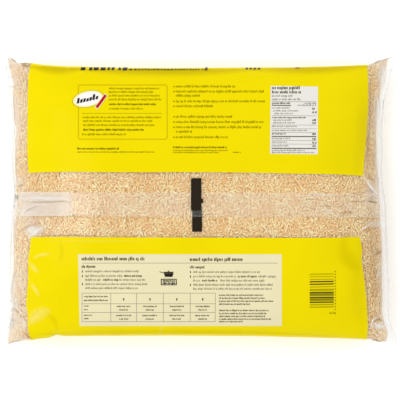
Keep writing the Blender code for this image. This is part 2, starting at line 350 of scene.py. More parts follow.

# Places where the film is milky, and painted highlights where it catches the light, each a soft
# oval
MILK_AND_HIGHLIGHTS = (
    Haze((35, 231), (7, 4), 0.40),
    Haze((30, 228), (5, 6), 0.25),
    Haze((26, 214), (7, 4), 0.20),
    Haze((27, 71), (2.0, 2.0), 0.35),
    Haze((20, 185), (6, 8), 0.20),
    Haze((372, 190), (6, 9), 0.30),
    Haze((375, 224), (9, 3), 0.40),
    Haze((381, 75), (4, 9), 0.22),
    Haze((376, 112), (3, 14), 0.22),
    Haze((381, 275), (3, 25), 0.15),
    Haze((32, 222), (22, 13), 0.16),
    Haze((22, 90), (9, 45), 0.06),
    Haze((378, 326), (7, 3), 0.45),
    Haze((18, 285), (11, 40), 0.22),
    Haze((20, 325), (10, 14), 0.12),
    Haze((19, 110), (10, 50), 0.12),
)

# The back seam: the corners of its strip, and its fold line from its start, its row and its end
SEAM = ((12.8, 191.8), (383.5, 193.2), (383.5, 217.9), (12.8, 216.0))
SEAM_FOLD = (24, 199.4, 70)

# How high the strip lies at its edge, how much higher inside, and in how many pixels it rises. Then
# the height and half width of its fold, and the pixels in which that runs out at both ends.
SEAM_LIFT, SEAM_RISE, SEAM_EDGE = 0.00010, 0.00022, 1.5
SEAM_FOLD_HEIGHT, SEAM_FOLD_WIDTH, SEAM_FOLD_RUN = 0.0011, 1.0, 8

# The strip's milk: all over, more in its white part up to a place and in how many pixels that ends,
# less over the sorting mark, and none at the left end, with the pixels over which it comes up
SEAM_MILK, WHITE_MILK, MARK_CLEARING = 0.09, 0.26, 0.10
WHITE_END, WHITE_RUN = 71.2, 6
MARK_MIDDLE, MARK_REACH = 197, 7
SEAM_FADE = 10

Line = namedtuple("Line", "start y end size weight")


def lines(size, weight, *places):
    """Lines of words of one size and weight, each from where it starts, its row and its end."""
    return [Line(*place, size, weight) for place in places]


# Lines of words as fields of small blocks: the height of the letters, and the share of ink
FINE, TEXT, LARGE = 1.1, 1.5, 1.8
LIGHT, BOLD = 0.44, 0.66
BOX_WORDS = (
    *lines(TEXT, LIGHT, (109, 88.6, 160), (109, 92.1, 153), (109, 95.8, 160), (109, 99.6, 161)),
    *lines(TEXT, BOLD, (109, 104.4, 156)),
    *lines(TEXT, LIGHT,
           (109, 108.8, 143), (82.8, 117.5, 161.5), (83.2, 121.1, 152.6), (83.2, 125.2, 155)),
    *lines(TEXT, BOLD, (83.2, 129.9, 144)),
    *lines(TEXT, LIGHT, (82.0, 134.5, 126)),
    *lines(TEXT, BOLD, (77.3, 148.8, 119)),
    *lines(FINE, LIGHT, (77.3, 152.1, 154.5)),
)
LIST_WORDS = (
    *lines(LARGE, LIGHT,
           (176, 86.6, 236), (176, 91.6, 264), (176, 95.8, 200.6), (176, 101.4, 265),
           (176, 106.3, 215), (176, 116.8, 234), (176, 122.1, 264), (176, 127.3, 261),
           (176, 131.7, 192), (176, 137.3, 228)),
    *lines(TEXT, BOLD, (173, 147.5, 228)),
    *lines(FINE, LIGHT, (173, 150.5, 228.4), (173, 152.6, 219), (233, 152.4, 242)),
)
BULLETS = (86.6, 91.6, 101.4, 106.3, 116.8, 122.1, 127.3, 137.3)
TABLE_WORDS = (
    *lines(2.2, BOLD, (272, 88.2, 300), (272, 92.4, 300.6)),
    *lines(TEXT, LIGHT, (272, 96.1, 293), (272, 99.5, 301)),
    *lines(TEXT, BOLD, (272, 103.4, 290)),
    *lines(FINE, LIGHT,
           (304, 103.4, 316.2), (297.5, 105.4, 316.2), (272, 108.1, 290), (273.2, 110.9, 298.4),
           (274.1, 113.6, 293.3)),
    *lines(FINE, BOLD, (272, 117.7, 305.5)),
    *lines(FINE, LIGHT,
           (273.2, 120.2, 292), (273.2, 122.9, 295), (272, 126.5, 297), (272, 130.5, 307)),
    *lines(FINE, BOLD, (272, 133.9, 286.5)),
    *lines(FINE, LIGHT,
           (272, 138.5, 290.4), (272, 142.2, 287.5), (272, 145.8, 289), (272, 150.5, 306),
           (272, 152.6, 315)),
)
TABLE_FIGURES = (108.6, 112.5, 120.4, 123.2, 134.3, 138.9, 142.8, 146.2)
TABLE_RULES = (101.5, 115.6, 124.9, 128.6, 132.4, 140.4, 144.0)
TABLE_BARS = (136.4, 148.3)
RECIPE_WORDS = (
    *lines(2.5, BOLD, (81.7, 259.1, 147), (189.8, 259.7, 243)),
    *lines(1.9, BOLD, (81.7, 266.7, 96), (189.8, 267.4, 205)),
    *lines(TEXT, LIGHT, (85.5, 271.4, 139), (85.5, 276.0, 123)),
    *lines(TEXT, BOLD, (124, 276.0, 143)),
    *lines(TEXT, LIGHT, (85.5, 279.9, 101)),
    *lines(TEXT, BOLD, (103, 279.9, 118)),
    *lines(TEXT, LIGHT,
           (119.5, 279.9, 146), (85.5, 284.2, 149), (85.5, 288.2, 138), (193.3, 272.1, 260),
           (193.3, 276.5, 237)),
    *lines(TEXT, BOLD, (238, 276.5, 257)),
    *lines(TEXT, LIGHT, (258.5, 276.5, 277), (193.3, 280.7, 200.5)),
    *lines(TEXT, BOLD, (202, 280.7, 219)),
    *lines(TEXT, LIGHT, (220.5, 280.7, 265), (193.3, 284.9, 273), (193.3, 288.9, 272.6)),
    *lines(FINE, BOLD,
           (219, 295.2, 263.5), (219, 298.2, 265), (219, 301.2, 273.7), (219, 304.2, 250),
           (219, 310.5, 268.7), (219, 313.5, 267), (219, 316.3, 265), (219, 319.1, 272),
           (219, 321.6, 243), (84, 296.6, 108), (84, 300.4, 108), (84, 306.0, 89),
           (84, 309.6, 88), (84, 315.2, 91.8), (84, 318.6, 89)),
)
RECIPE_NUMBERS = ((82, 271.4), (82, 276.0), (82, 284.2), (190, 272.1), (190, 276.5), (190, 284.9))

# The small ruled table of the recipe: where its lines run, and the words in its cells
GRID_COLUMNS = (82, 110.8, 136.6, 163.4, 190.2, 215.3)
GRID_ROWS = (293.1, 303.7, 312.4, 321.6)
CELL_WORDS = ((306.4, 7.0), (309.9, 4.5), (315.5, 7.5), (319.0, 4.5))

# Columns of the small blocks beside the words: left and right, and half their height
BULLET_SPAN = (173.4, 174.5, 0.6)
FIGURE_SPAN = (312.3, 316.4)
NUMBER_WIDTH, NUMBER_HALF = 0.9, 1.1
GRID_FIGURE = (0.6, 298.1, 300.5)

# The pale panels, by their corners from the upper left, clockwise
CREAM_PANEL = ((78, 254.2), (281.8, 254.2), (281.8, 326), (79.6, 326))
WHITE_PANEL = ((270.6, 85.8), (318.0, 86.6), (317.8, 154.4), (270.0, 153.8))
PANEL_STEP = 1.5

# The oval disc in the upper panel, with the reach of its rings and the share that each leaves open
DISC_MIDDLE = (88.0, 99.0)
DISC_TURN = math.radians(-12)
DISC_REACH = (15.9, 7.9)
OUTER_RING = ((16.2, 8.3), 0.93)
INNER_RING = ((15.2, 7.8), 0.84)

# The round box of the upper panel: left, top, right, bottom, radius and line, and its rule
ROUND_BOX = (78.4, 85.0, 167.2, 139.2, 2.0, 0.9)
BOX_RULE = ((82, 113.4), (162, 113.4), 0.8)

# Rules: the table's span and its slope, its short bar, and the rule below the recipe's heading
TABLE_SPAN = (272, 316.3)
TABLE_SLOPE = 0.3
BAR_LEFT = 271.7
SHORT_BAR = ((272, 105.4), (291, 105.6), 0.8)
HEADING_RULE = ((82, 263.1), (277.5, 263.1), 0.4)
GRID_LINE = 0.4

# The sorting mark: its lower part below the seam's strip, and its upper part with a tab above it
LOWER_MARK = (192.1, 209.5, 202.0, 231.8)
UPPER_MARK = ((191.0, 178.2, 201.4, 210.4), (201.4, 198.6, 203.2, 203.0))
LOWER_MARK_LIFT = 0.00006
UPPER_MARK_LIFT = 0.00050

# The pan sign: the pan's rim, body, knob and handle, and the frame of two rows of words below it
PAN_RIM = (164.0, 271.8, 173.4, 273.0)
PAN_BODY = ((164.0, 273.2), (173.4, 273.2), (172.4, 276.8), (165.0, 276.8))
PAN_KNOB = (167.9, 270.8, 169.3, 271.8)
PAN_HANDLE = ((159.4, 271.6), (164.0, 273.0), 0.6)
SIGN_FRAME = (
    ((160.9, 279.2), (176.7, 279.2), 0.8), ((160.9, 284.7), (176.7, 284.7), 0.8),
    ((161.3, 279.2), (161.3, 284.7), 0.8), ((176.3, 279.2), (176.3, 284.7), 0.8),
)
SIGN_WORDS = lines(1.2, 0.9, (162.8, 280.9, 175.2), (162.8, 283.1, 175.2))

# The loose strokes on the disc: the foot of the first, the step to the next, their heights, how far
# they lean, their width, and how much they rise to the right
BRUSH_FOOT = (76.8, 103.4)
BRUSH_STEP = (3.1, -0.68)
BRUSH_HEIGHTS = (5.0, 3.2, 3.4, 2.8, 3.2, 5.4, 3.0)
BRUSH_LEAN, BRUSH_WIDTH, BRUSH_RISE = 0.8, 2.3, 0.3

# The plain red bar on the disc with the bright field below it, and the red chip at the upper fold
BAR_FIELD = ((96.3, 108.3), (106.1, 94.8), 3.5)
RED_BAR = ((96.6, 107.8), (105.8, 95.2), 2.7)
RED_CHIP = (295.6, 66.6, 299.0, 68.8)

# The feet of large blocks that the upper fold cuts off: their heads, where they start and end, from
# where on they are smaller, their widths, feet and gaps, and the places of the last few
FOLD_HEAD = 66.2
FOLD_RUN = (80.6, 206)
FOLD_SMALLER = (134, 0.6)
FOLD_WIDTHS = (3.4, 6.0)
FOLD_FEET = (70.1, 70.6)
FOLD_GAPS, FOLD_GAP_SHARES = (0.5, 1.0, 3.0), (0.5, 0.35, 0.15)
LAST_BLOCKS = (245.5, 249.3, 253.4, 257.6)
LAST_WIDTH, LAST_FOOT = 3.2, 69.6

Stripe = namedtuple("Stripe", "y thickness ink")

# A plain pattern of stripes, which rise slightly to the right, and the small blocks beside it
STRIPE_SPAN = (309.7, 333.7)
STRIPE_SLOPE = 0.2
STRIPE_FIGURES = (334.6, 335.9, 1.2)
STRIPE_ROWS = (271.0, 310.0, 2.9)
STRIPE_WORD = Line(329.5, 313.1, 336, TEXT, BOLD)
STRIPES = (
    Stripe(274.1, 0.9, "bronze"), Stripe(276.6, 0.7, "bronze"), Stripe(279.3, 0.8, "bronze"),
    Stripe(281.6, 1.3, "dark"), Stripe(284.1, 1.2, "dark"), Stripe(286.8, 0.9, "bronze"),
    Stripe(289.8, 2.0, "bronze"), Stripe(292.4, 1.2, "dark"), Stripe(294.6, 2.8, "moss"),
    Stripe(297.5, 1.4, "dark"), Stripe(299.7, 2.4, "moss"), Stripe(302.2, 1.3, "dark"),
    Stripe(304.6, 1.2, "bronze"), Stripe(307.0, 1.1, "bronze"),
)


class FilmSettings(bpy.types.PropertyGroup):
    """Sizes and colours of the film."""

    fin_thickness: bpy.props.FloatProperty(
        name="Fin thickness",
        description="Thickness of the two sealed layers of film at the ends",
        default=0.0003,
        unit="LENGTH",
    )
    crinkle: bpy.props.FloatProperty(
        name="Crinkle",
        description="Depth of the small ripples near the sealed ends",
        default=0.00045,
        unit="LENGTH",
    )
    gloss: bpy.props.FloatProperty(
        name="Roughness", description="Roughness of the film", default=0.16
    )
    haze: bpy.props.FloatProperty(
        name="Haze", description="Milkiness of one layer of clear film", default=0.035
    )
    yellow: bpy.props.FloatVectorProperty(
        name="Yellow print",
        description="Colour of the printed panels",
        subtype="COLOR",
        default=(0.80, 0.652, 0.0),
    )


class RiceSettings(bpy.types.PropertyGroup):
    """Sizes and colours of the rice."""

    length: bpy.props.FloatProperty(
        name="Grain length", description="Length of a whole grain", default=0.0058, unit="LENGTH"
    )
    width: bpy.props.FloatProperty(
        name="Grain width", description="Width of a grain", default=0.0016, unit="LENGTH"
    )
    thickness: bpy.props.FloatProperty(
        name="Grain thickness", description="Thickness of a grain", default=0.00136, unit="LENGTH"
    )
    pale: bpy.props.FloatVectorProperty(
        name="Pale grain", description="Lightest grain", subtype="COLOR", default=(1.0, 0.87, 0.50)
    )
    deep: bpy.props.FloatVectorProperty(
        name="Deep grain", description="Darkest grain", subtype="COLOR", default=(0.91, 0.58, 0.21)
    )


class StageSettings(bpy.types.PropertyGroup):
    """The floor, the lights and the camera."""

    lens: bpy.props.FloatProperty(
        name="Lens", description="Focal length of the camera in millimetres", default=100.0
    )
    floor: bpy.props.FloatVectorProperty(
        name="Floor", description="Colour of the floor", subtype="COLOR", default=(0.96, 0.96, 0.96)
    )
    glow: bpy.props.FloatProperty(
        name="Floor glow", description="Light of the floor itself", default=0.15
    )
    ambient: bpy.props.FloatProperty(
        name="Ambient", description="Strength of the light from all round", default=0.85
    )
    key: bpy.props.FloatProperty(
        name="Key light", description="Power of the large soft light", default=22.0, unit="POWER"
    )


def settings():
    scene = bpy.context.scene
    return scene.rice_bag_film, scene.rice_bag_rice, scene.rice_bag_stage


# The photograph's own space


def camera_reach():
    """Distance from the camera to the level at which one pixel is PIXEL wide."""
    lens = settings()[2].lens / 1000
    return PIXEL * PHOTO_PIXELS * lens / SENSOR


def camera_place():
    x = (PHOTO_PIXELS / 2 - PHOTO_MIDDLE[0]) * PIXEL
    y = (PHOTO_MIDDLE[1] - PHOTO_PIXELS / 2) * PIXEL
    return Vector((x, y, SIGHT_HEIGHT + camera_reach()))


def to_photo(points):
    """Places in metres as the photograph shows them: its two pixel coordinates, and the height."""
    eye = camera_place()
    nearness = camera_reach() / (eye.z - points[:, 2])
    u = PHOTO_PIXELS / 2 + (points[:, 0] - eye.x) * nearness / PIXEL
    v = PHOTO_PIXELS / 2 - (points[:, 1] - eye.y) * nearness / PIXEL
    return np.column_stack((u, v, points[:, 2]))


def from_photo(seen):
    """The opposite of to_photo."""
    eye = camera_place()
    nearness = camera_reach() / (eye.z - seen[:, 2])
    x = eye.x + (seen[:, 0] - PHOTO_PIXELS / 2) * PIXEL / nearness
    y = eye.y - (seen[:, 1] - PHOTO_PIXELS / 2) * PIXEL / nearness
    return np.column_stack((x, y, seen[:, 2]))


def along_border(border, where):
    """A border's other coordinate, on a smooth curve through its points."""
    places = np.array(border, float)
    slopes = np.gradient(places[:, 1], places[:, 0])
    where = np.clip(where, places[0, 0], places[-1, 0])
    i = np.clip(np.searchsorted(places[:, 0], where) - 1, 0, len(places) - 2)
    gap = places[i + 1, 0] - places[i, 0]
    t = (where - places[i, 0]) / gap
    start = (1 + 2 * t) * (1 - t) ** 2 * places[i, 1] + t * (1 - t) ** 2 * gap * slopes[i]
    end = t * t * (3 - 2 * t) * places[i + 1, 1] + t * t * (t - 1) * gap * slopes[i + 1]
    return start + end


# Meshes


def only(obj):
    bpy.ops.object.select_all(action="DESELECT")
    obj.select_set(True)
    bpy.context.view_layer.objects.active = obj


@contextlib.contextmanager
def editing(obj, mode="FACE"):
    """Edit mode on one object, with nothing selected in it."""
    only(obj)
    bpy.ops.object.mode_set(mode="EDIT")
    bpy.ops.mesh.select_mode(type=mode)
    bpy.ops.mesh.select_all(action="DESELECT")
    yield
    bpy.ops.object.mode_set(mode="OBJECT")


def select_faces(obj, numbers):
    """Selects faces by number, in edit mode."""
    mesh = bmesh.from_edit_mesh(obj.data)
    mesh.faces.ensure_lookup_table()
    for number in numbers:
        mesh.faces[number].select_set(True)
    bmesh.update_edit_mesh(obj.data)


def apply_all(obj):
    only(obj)
    for modifier in list(obj.modifiers):
        bpy.ops.object.modifier_apply(modifier=modifier.name)


def points_of(obj):
    points = np.empty(len(obj.data.vertices) * 3)
    obj.data.vertices.foreach_get("co", points)
    return points.reshape(-1, 3)


def move_points(obj, points):
    obj.data.vertices.foreach_set("co", points.ravel())
    obj.data.update()


def normals_of(obj):
    normals = np.empty(len(obj.data.vertices) * 3)
    obj.data.vertex_normals.foreach_get("vector", normals)
    return normals.reshape(-1, 3)


def face_centres_and_normals(obj):
    count = len(obj.data.polygons)
    centres, normals = np.empty(count * 3), np.empty(count * 3)
    obj.data.polygons.foreach_get("center", centres)
    obj.data.polygons.foreach_get("normal", normals)
    return centres.reshape(-1, 3), normals.reshape(-1, 3)


def tree_of(obj):
    return BVHTree.FromPolygons(
        [v.co for v in obj.data.vertices], [p.vertices for p in obj.data.polygons]
    )


def dress(obj, material):
    """Finishes a piece: its material and the body that it rides on."""
    obj.data.materials.clear()
    obj.data.materials.append(material)
    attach(obj, BODY)
    return obj


# The film's shape


def copy_of_bag(name):
    """A copy of the bag's solid, merged into one mesh of mostly four-sided faces."""
    shell = bpy.data.objects.new(name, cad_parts[NODE].data.copy())
    bpy.context.scene.collection.objects.link(shell)
    shell.data.materials.clear()
    with editing(shell):
        bpy.ops.mesh.select_all(action="SELECT")
        bpy.ops.mesh.remove_doubles(threshold=MERGE)
        bpy.ops.mesh.tris_convert_to_quads(
            face_threshold=math.radians(50), shape_threshold=math.radians(60)
        )
    return shell


def crease_fins(shell):
    """Keeps the outer edges of the fins sharp when the mesh is smoothed."""
    with editing(shell, "EDGE"):
        bpy.ops.mesh.edges_select_sharp(sharpness=math.radians(60))
        bpy.ops.transform.edge_crease(value=1.0)


def smooth_shell(shell, levels):
    modifier = shell.modifiers.new("smooth", "SUBSURF")
    modifier.levels = modifier.render_levels = levels
    apply_all(shell)
    shell.data.shade_smooth()


def end_section(tree, x, y):
    """The height of the bag's middle and its thickness at one place, near an end."""
    top = tree.ray_cast(Vector((x, y, 1.0)), Vector((0, 0, -1)))[0]
    bottom = tree.ray_cast(Vector((x, y, -1.0)), Vector((0, 0, 1)))[0]
    if top is None or bottom is None:
        return 0.0, 0.0
    return (top.z + bottom.z) / 2, top.z - bottom.z


def is_end(x):
    return np.abs(x) > cad_box[1].x * END_SHARE


def end_thickness(obj):
    """For each point of a closed mesh: the middle's height, and the thickness, large where it isn't
    near an end."""
    tree, points = tree_of(obj), points_of(obj)
    inward = points * INWARD
    middle, thick = np.zeros(len(points)), np.ones(len(points))
    for number in np.flatnonzero(is_end(points[:, 0])):
        middle[number], thick[number] = end_section(tree, *inward[number, :2])
    return middle, thick


def kept_share(thick):
    """The share of its thickness that the film keeps near the ends, from the solid's thickness."""
    press = settings()[0].fin_thickness / SOLID_FIN
    return press + (1 - press) * np.clip((thick - SOLID_FIN) / FIN_RUN, 0, 1)


def thin_fins(shell):
    """Presses the two layers of the end fins together, to the thickness of real film. It returns
    how milky each point is for it: the closer the two layers, the more."""
    points = points_of(shell)
    middle, thick = end_thickness(shell)
    pressed = middle + (points[:, 2] - middle) * kept_share(thick)
    points[:, 2] = np.where(is_end(points[:, 0]) & (thick > 0), pressed, points[:, 2])
    move_points(shell, points)
    return FIN_MILK * np.clip(1 - (thick - SOLID_FIN) / FIN_MILK_BELOW, 0, 1) ** FIN_MILK_RISE


def nudge_outline(shell):
    """Moves the film near its long folds by a millimetre or two, to where the photograph has it."""
    seen = to_photo(points_of(shell))
    across = (seen[:, 1] - PHOTO_MIDDLE[1]) / HALF_SEEN
    share = np.clip(np.abs(across), 0, 1) ** NUDGE_RISE
    upper = along_border(UPPER_NUDGE, seen[:, 0])
    lower = along_border(LOWER_NUDGE, seen[:, 0])
    seen[:, 1] += share * np.where(across < 0, upper, lower)
    move_points(shell, from_photo(seen))


def nudge_ends(shell):
    """Moves the film near its two ends to where the photograph has the fins' outer edges."""
    seen = to_photo(points_of(shell))
    for side, fin in ((-1, LEFT_FIN), (1, RIGHT_FIN)):
        outward = side * (seen[:, 0] - PHOTO_MIDDLE[0])
        wanted = []
        for row, place in fin:
            own = outward[np.abs(seen[:, 1] - row) < ROW_REACH].max()
            wanted.append((row, side * (place - PHOTO_MIDDLE[0]) - own))
        share = np.clip((outward - FIN_REACH[0]) / (FIN_REACH[1] - FIN_REACH[0]), 0, 1)
        seen[:, 0] += side * share * along_border(wanted, seen[:, 1])
    move_points(shell, from_photo(seen))


def taper(along, rest):
    """A hump over the length of a crease or a stroke, with a little of it left at its ends."""
    return np.sin(np.pi * (rest + (1 - 2 * rest) * along))


def crease_heights(seen):
    """How far each point of the film stands out for the creases, in metres."""
    heights = np.zeros(len(seen))
    scale = PIXEL * 1000
    for crease in CREASES:
        start, end = np.array(crease.start, float), np.array(crease.end, float)
        run = end - start
        length = np.linalg.norm(run)
        off = seen[:, :2] - start
        along = np.clip(off @ run / length**2, 0, 1)
        away = np.linalg.norm(off - along[:, None] * run, axis=1) * scale / crease.width
        heights += crease.height / 1000 * taper(along, 0.08) * np.exp(-(away**2))
    off = np.linalg.norm(seen[:, :2] - CORNER_SWIRL.start, axis=1)
    away = (off - CORNER_SWIRL_RADIUS) * scale / CORNER_SWIRL.width
    return heights + CORNER_SWIRL.height / 1000 * np.exp(-(away**2))


def crinkle(shell):
    """Adds the creases on the shown side, and small ripples that grow towards the sealed ends."""
    points, normals = points_of(shell), normals_of(shell)
    seen = to_photo(points)
    outward = np.abs(points[:, 0]) / cad_box[1].x
    near_end = np.clip((outward - RIPPLE_START) / RIPPLE_RUN, 0, 1) ** RIPPLE_RISE
    ripples = np.array(
        [sum(share * noise.noise(Vector(p * often)) for often, share in RIPPLES) for p in points]
    )
    height = settings()[0].crinkle * ripples * (RIPPLE_LEAST + near_end)
    height += crease_heights(seen) * (normals[:, 2] > -0.1)
    resting = np.clip(points[:, 2] / REST_RUN, 0, 1)
    points += normals * (height * resting)[:, None]
    points[:, 2] = np.maximum(points[:, 2], 0.0)
    move_points(shell, points)


def cut_along(shell, border, axis, faces):
    """Cuts faces along a border of the print, in the photograph's own space. Axis 0 is a border at
    the left or right, and axis 1 one above or below."""
    seen = to_photo(points_of(shell))
    seen[:, axis] -= along_border(border, seen[:, 1 - axis])
    move_points(shell, seen)
    with editing(shell):
        select_faces(shell, faces)
        plane = [0.0, 0.0, 0.0]
        plane[axis] = 1.0
        bpy.ops.mesh.bisect(plane_co=(0, 0, 0), plane_no=plane, threshold=FINE_MERGE)
    seen = points_of(shell)
    seen[:, axis] += along_border(border, seen[:, 1 - axis])
    move_points(shell, from_photo(seen))


def between_borders(seen, room=0.0):
    """True where the print's left and right borders enclose a place, with room to spare."""
    left = along_border(LEFT_BORDER, seen[:, 1]) + room
    right = along_border(RIGHT_BORDER, seen[:, 1]) - room
    return (seen[:, 0] > left) & (seen[:, 0] < right)


def in_band(seen, upward, room=0.0):
    """True in the clear band along the back seam, with room to spare."""
    upper = along_border(UPPER_EDGE, seen[:, 0]) + room
    lower = along_border(LOWER_EDGE, seen[:, 0]) - room
    return (seen[:, 1] > upper) & (seen[:, 1] < lower) & (upward > 0)


def cut_panels(shell):
    """Cuts the film along the print's borders and splits off the printed part."""
    for border in (LEFT_BORDER, RIGHT_BORDER):
        cut_along(shell, border, 0, range(len(shell.data.polygons)))
    for border in (UPPER_EDGE, LOWER_EDGE):
        centres, normals = face_centres_and_normals(shell)
        shown = between_borders(to_photo(centres)) & (normals[:, 2] > 0)
        cut_along(shell, border, 1, np.flatnonzero(shown))
    centres, normals = face_centres_and_normals(shell)
    seen = to_photo(centres)
    printed = between_borders(seen) & ~in_band(seen, normals[:, 2])
    with editing(shell):
        select_faces(shell, np.flatnonzero(printed))
        bpy.ops.mesh.separate(type="SELECTED")
    panel = next(o for o in bpy.context.selected_objects if o is not shell)
    panel.name = "printed_film"
    return panel


# Node groups and materials


def new_group(name, inputs, outputs):
    """An empty node group. Inputs and outputs are lists of a name, a socket type and a default."""
    group = bpy.data.node_groups.new(name, "ShaderNodeTree")
    for direction, sockets in (("INPUT", inputs), ("OUTPUT", outputs)):
        for label, kind, default in sockets:
            socket = group.interface.new_socket(label, in_out=direction, socket_type=kind)
            if default is not None:
                socket.default_value = default
    return group


def add_node(tree, kind, values=None, **properties):
    node = tree.nodes.new(kind)
    for name, value in properties.items():
        setattr(node, name, value)
    for name, value in (values or {}).items():
        node.inputs[name].default_value = value
    return node


def ripple_group():
    """A normal for thin film over grains: slow ripples and small dimples."""
    if "film ripple" in bpy.data.node_groups:
        return bpy.data.node_groups["film ripple"]
    group = new_group(
        "film ripple",
        (
            ("Place", "NodeSocketVector", None),
            ("Ripple", "NodeSocketFloat", 0.2),
            ("Dimple", "NodeSocketFloat", 0.2),
        ),
        (("Normal", "NodeSocketVector", None),),
    )
    start, end = group.nodes.new("NodeGroupInput"), group.nodes.new("NodeGroupOutput")
    slow = add_node(group, "ShaderNodeTexNoise", {"Scale": 38.0, "Detail": 3.0, "Distortion": 0.8})
    fine = add_node(
        group, "ShaderNodeTexVoronoi", {"Scale": 230.0, "Randomness": 1.0}, feature="SMOOTH_F1"
    )
    first = add_node(group, "ShaderNodeBump", {"Distance": 0.002})
    second = add_node(group, "ShaderNodeBump", {"Distance": 0.0004})
    link = group.links.new
    link(start.outputs["Place"], slow.inputs["Vector"])
    link(start.outputs["Place"], fine.inputs["Vector"])
    link(start.outputs["Ripple"], first.inputs["Strength"])
    link(start.outputs["Dimple"], second.inputs["Strength"])
    link(slow.outputs["Fac"], first.inputs["Height"])
    link(fine.outputs["Distance"], second.inputs["Height"])
    link(first.outputs["Normal"], second.inputs["Normal"])
    link(second.outputs["Normal"], end.inputs["Normal"])
    return group


def mottle_group():
    """A colour with soft light and dark clouds in it, as uneven ink has."""
    if "ink mottle" in bpy.data.node_groups:
        return bpy.data.node_groups["ink mottle"]
    group = new_group(
        "ink mottle",
        (
            ("Place", "NodeSocketVector", None),
            ("Colour", "NodeSocketColor", (1, 1, 1, 1)),
            ("Size", "NodeSocketFloat", 30.0),
            ("Amount", "NodeSocketFloat", 0.05),
        ),
        (("Colour", "NodeSocketColor", (1, 1, 1, 1)),),
    )
    start, end = group.nodes.new("NodeGroupInput"), group.nodes.new("NodeGroupOutput")
    cloud = add_node(group, "ShaderNodeTexNoise", {"Detail": 4.0})
    spread = add_node(group, "ShaderNodeMath", {1: 0.5}, operation="SUBTRACT")
    scaled = add_node(group, "ShaderNodeMath", operation="MULTIPLY")
    around = add_node(group, "ShaderNodeMath", {1: 1.0}, operation="ADD")
    tint = add_node(group, "ShaderNodeVectorMath", operation="SCALE")
    link = group.links.new
    link(start.outputs["Place"], cloud.inputs["Vector"])
    link(start.outputs["Size"], cloud.inputs["Scale"])
    link(cloud.outputs["Fac"], spread.inputs[0])
    link(spread.outputs[0], scaled.inputs[0])
    link(start.outputs["Amount"], scaled.inputs[1])
    link(scaled.outputs[0], around.inputs[0])
    link(start.outputs["Colour"], tint.inputs[0])
    link(around.outputs[0], tint.inputs["Scale"])
    link(tint.outputs[0], end.inputs["Colour"])
    return group


def start_material(name):
    """A new material with a Principled shader and the object's own coordinates."""
    material = bpy.data.materials.new(name)
    material.use_nodes = True
    tree = material.node_tree
    place = add_node(tree, "ShaderNodeTexCoord")
    return material, tree, tree.nodes["Principled BSDF"], place.outputs["Object"]


def add_ripple(tree, place, shader, ripple, dimple):
    node = add_node(tree, "ShaderNodeGroup", node_tree=ripple_group())
    node.inputs["Ripple"].default_value = ripple
    node.inputs["Dimple"].default_value = dimple
    tree.links.new(place, node.inputs["Place"])
    tree.links.new(node.outputs["Normal"], shader.inputs["Normal"])
    return node


def ink_material(name, colour):
    """Ink on the inner side of glossy film."""
    material, tree, shader, place = start_material(name)
    mottle = add_node(tree, "ShaderNodeGroup", node_tree=mottle_group())
    mottle.inputs["Colour"].default_value = (*colour, 1)
    mottle.inputs["Size"].default_value = 30.0
    mottle.inputs["Amount"].default_value = 0.06
    tree.links.new(place, mottle.inputs["Place"])
    tree.links.new(mottle.outputs["Colour"], shader.inputs["Base Color"])
    shader.inputs["Roughness"].default_value = settings()[0].gloss + 0.10
    shader.inputs["Specular IOR Level"].default_value = 0.03
    add_ripple(tree, place, shader, 0.10, 0.10)
    return material


INKS = {
    "dark": (0.075, 0.056, 0.012),
    "brown": (0.085, 0.068, 0.0),
    "bronze": (0.40, 0.33, 0.0),
    "black": (0.021, 0.016, 0.010),
    "moss": (0.25, 0.22, 0.004),
    "olive": (0.55, 0.43, 0.003),
    "grey": (0.26, 0.24, 0.18),
    "red": (0.42, 0.012, 0.010),
    "cream": (0.77, 0.70, 0.445),
    "white": (0.745, 0.73, 0.675),
    "lemon": (0.86, 0.80, 0.42),
    "bright": (0.88, 0.85, 0.82),
}


def ink(shade):
    """The material of one of the print's inks."""
    name = shade + " ink"
    return bpy.data.materials.get(name) or ink_material(name, INKS[shade])


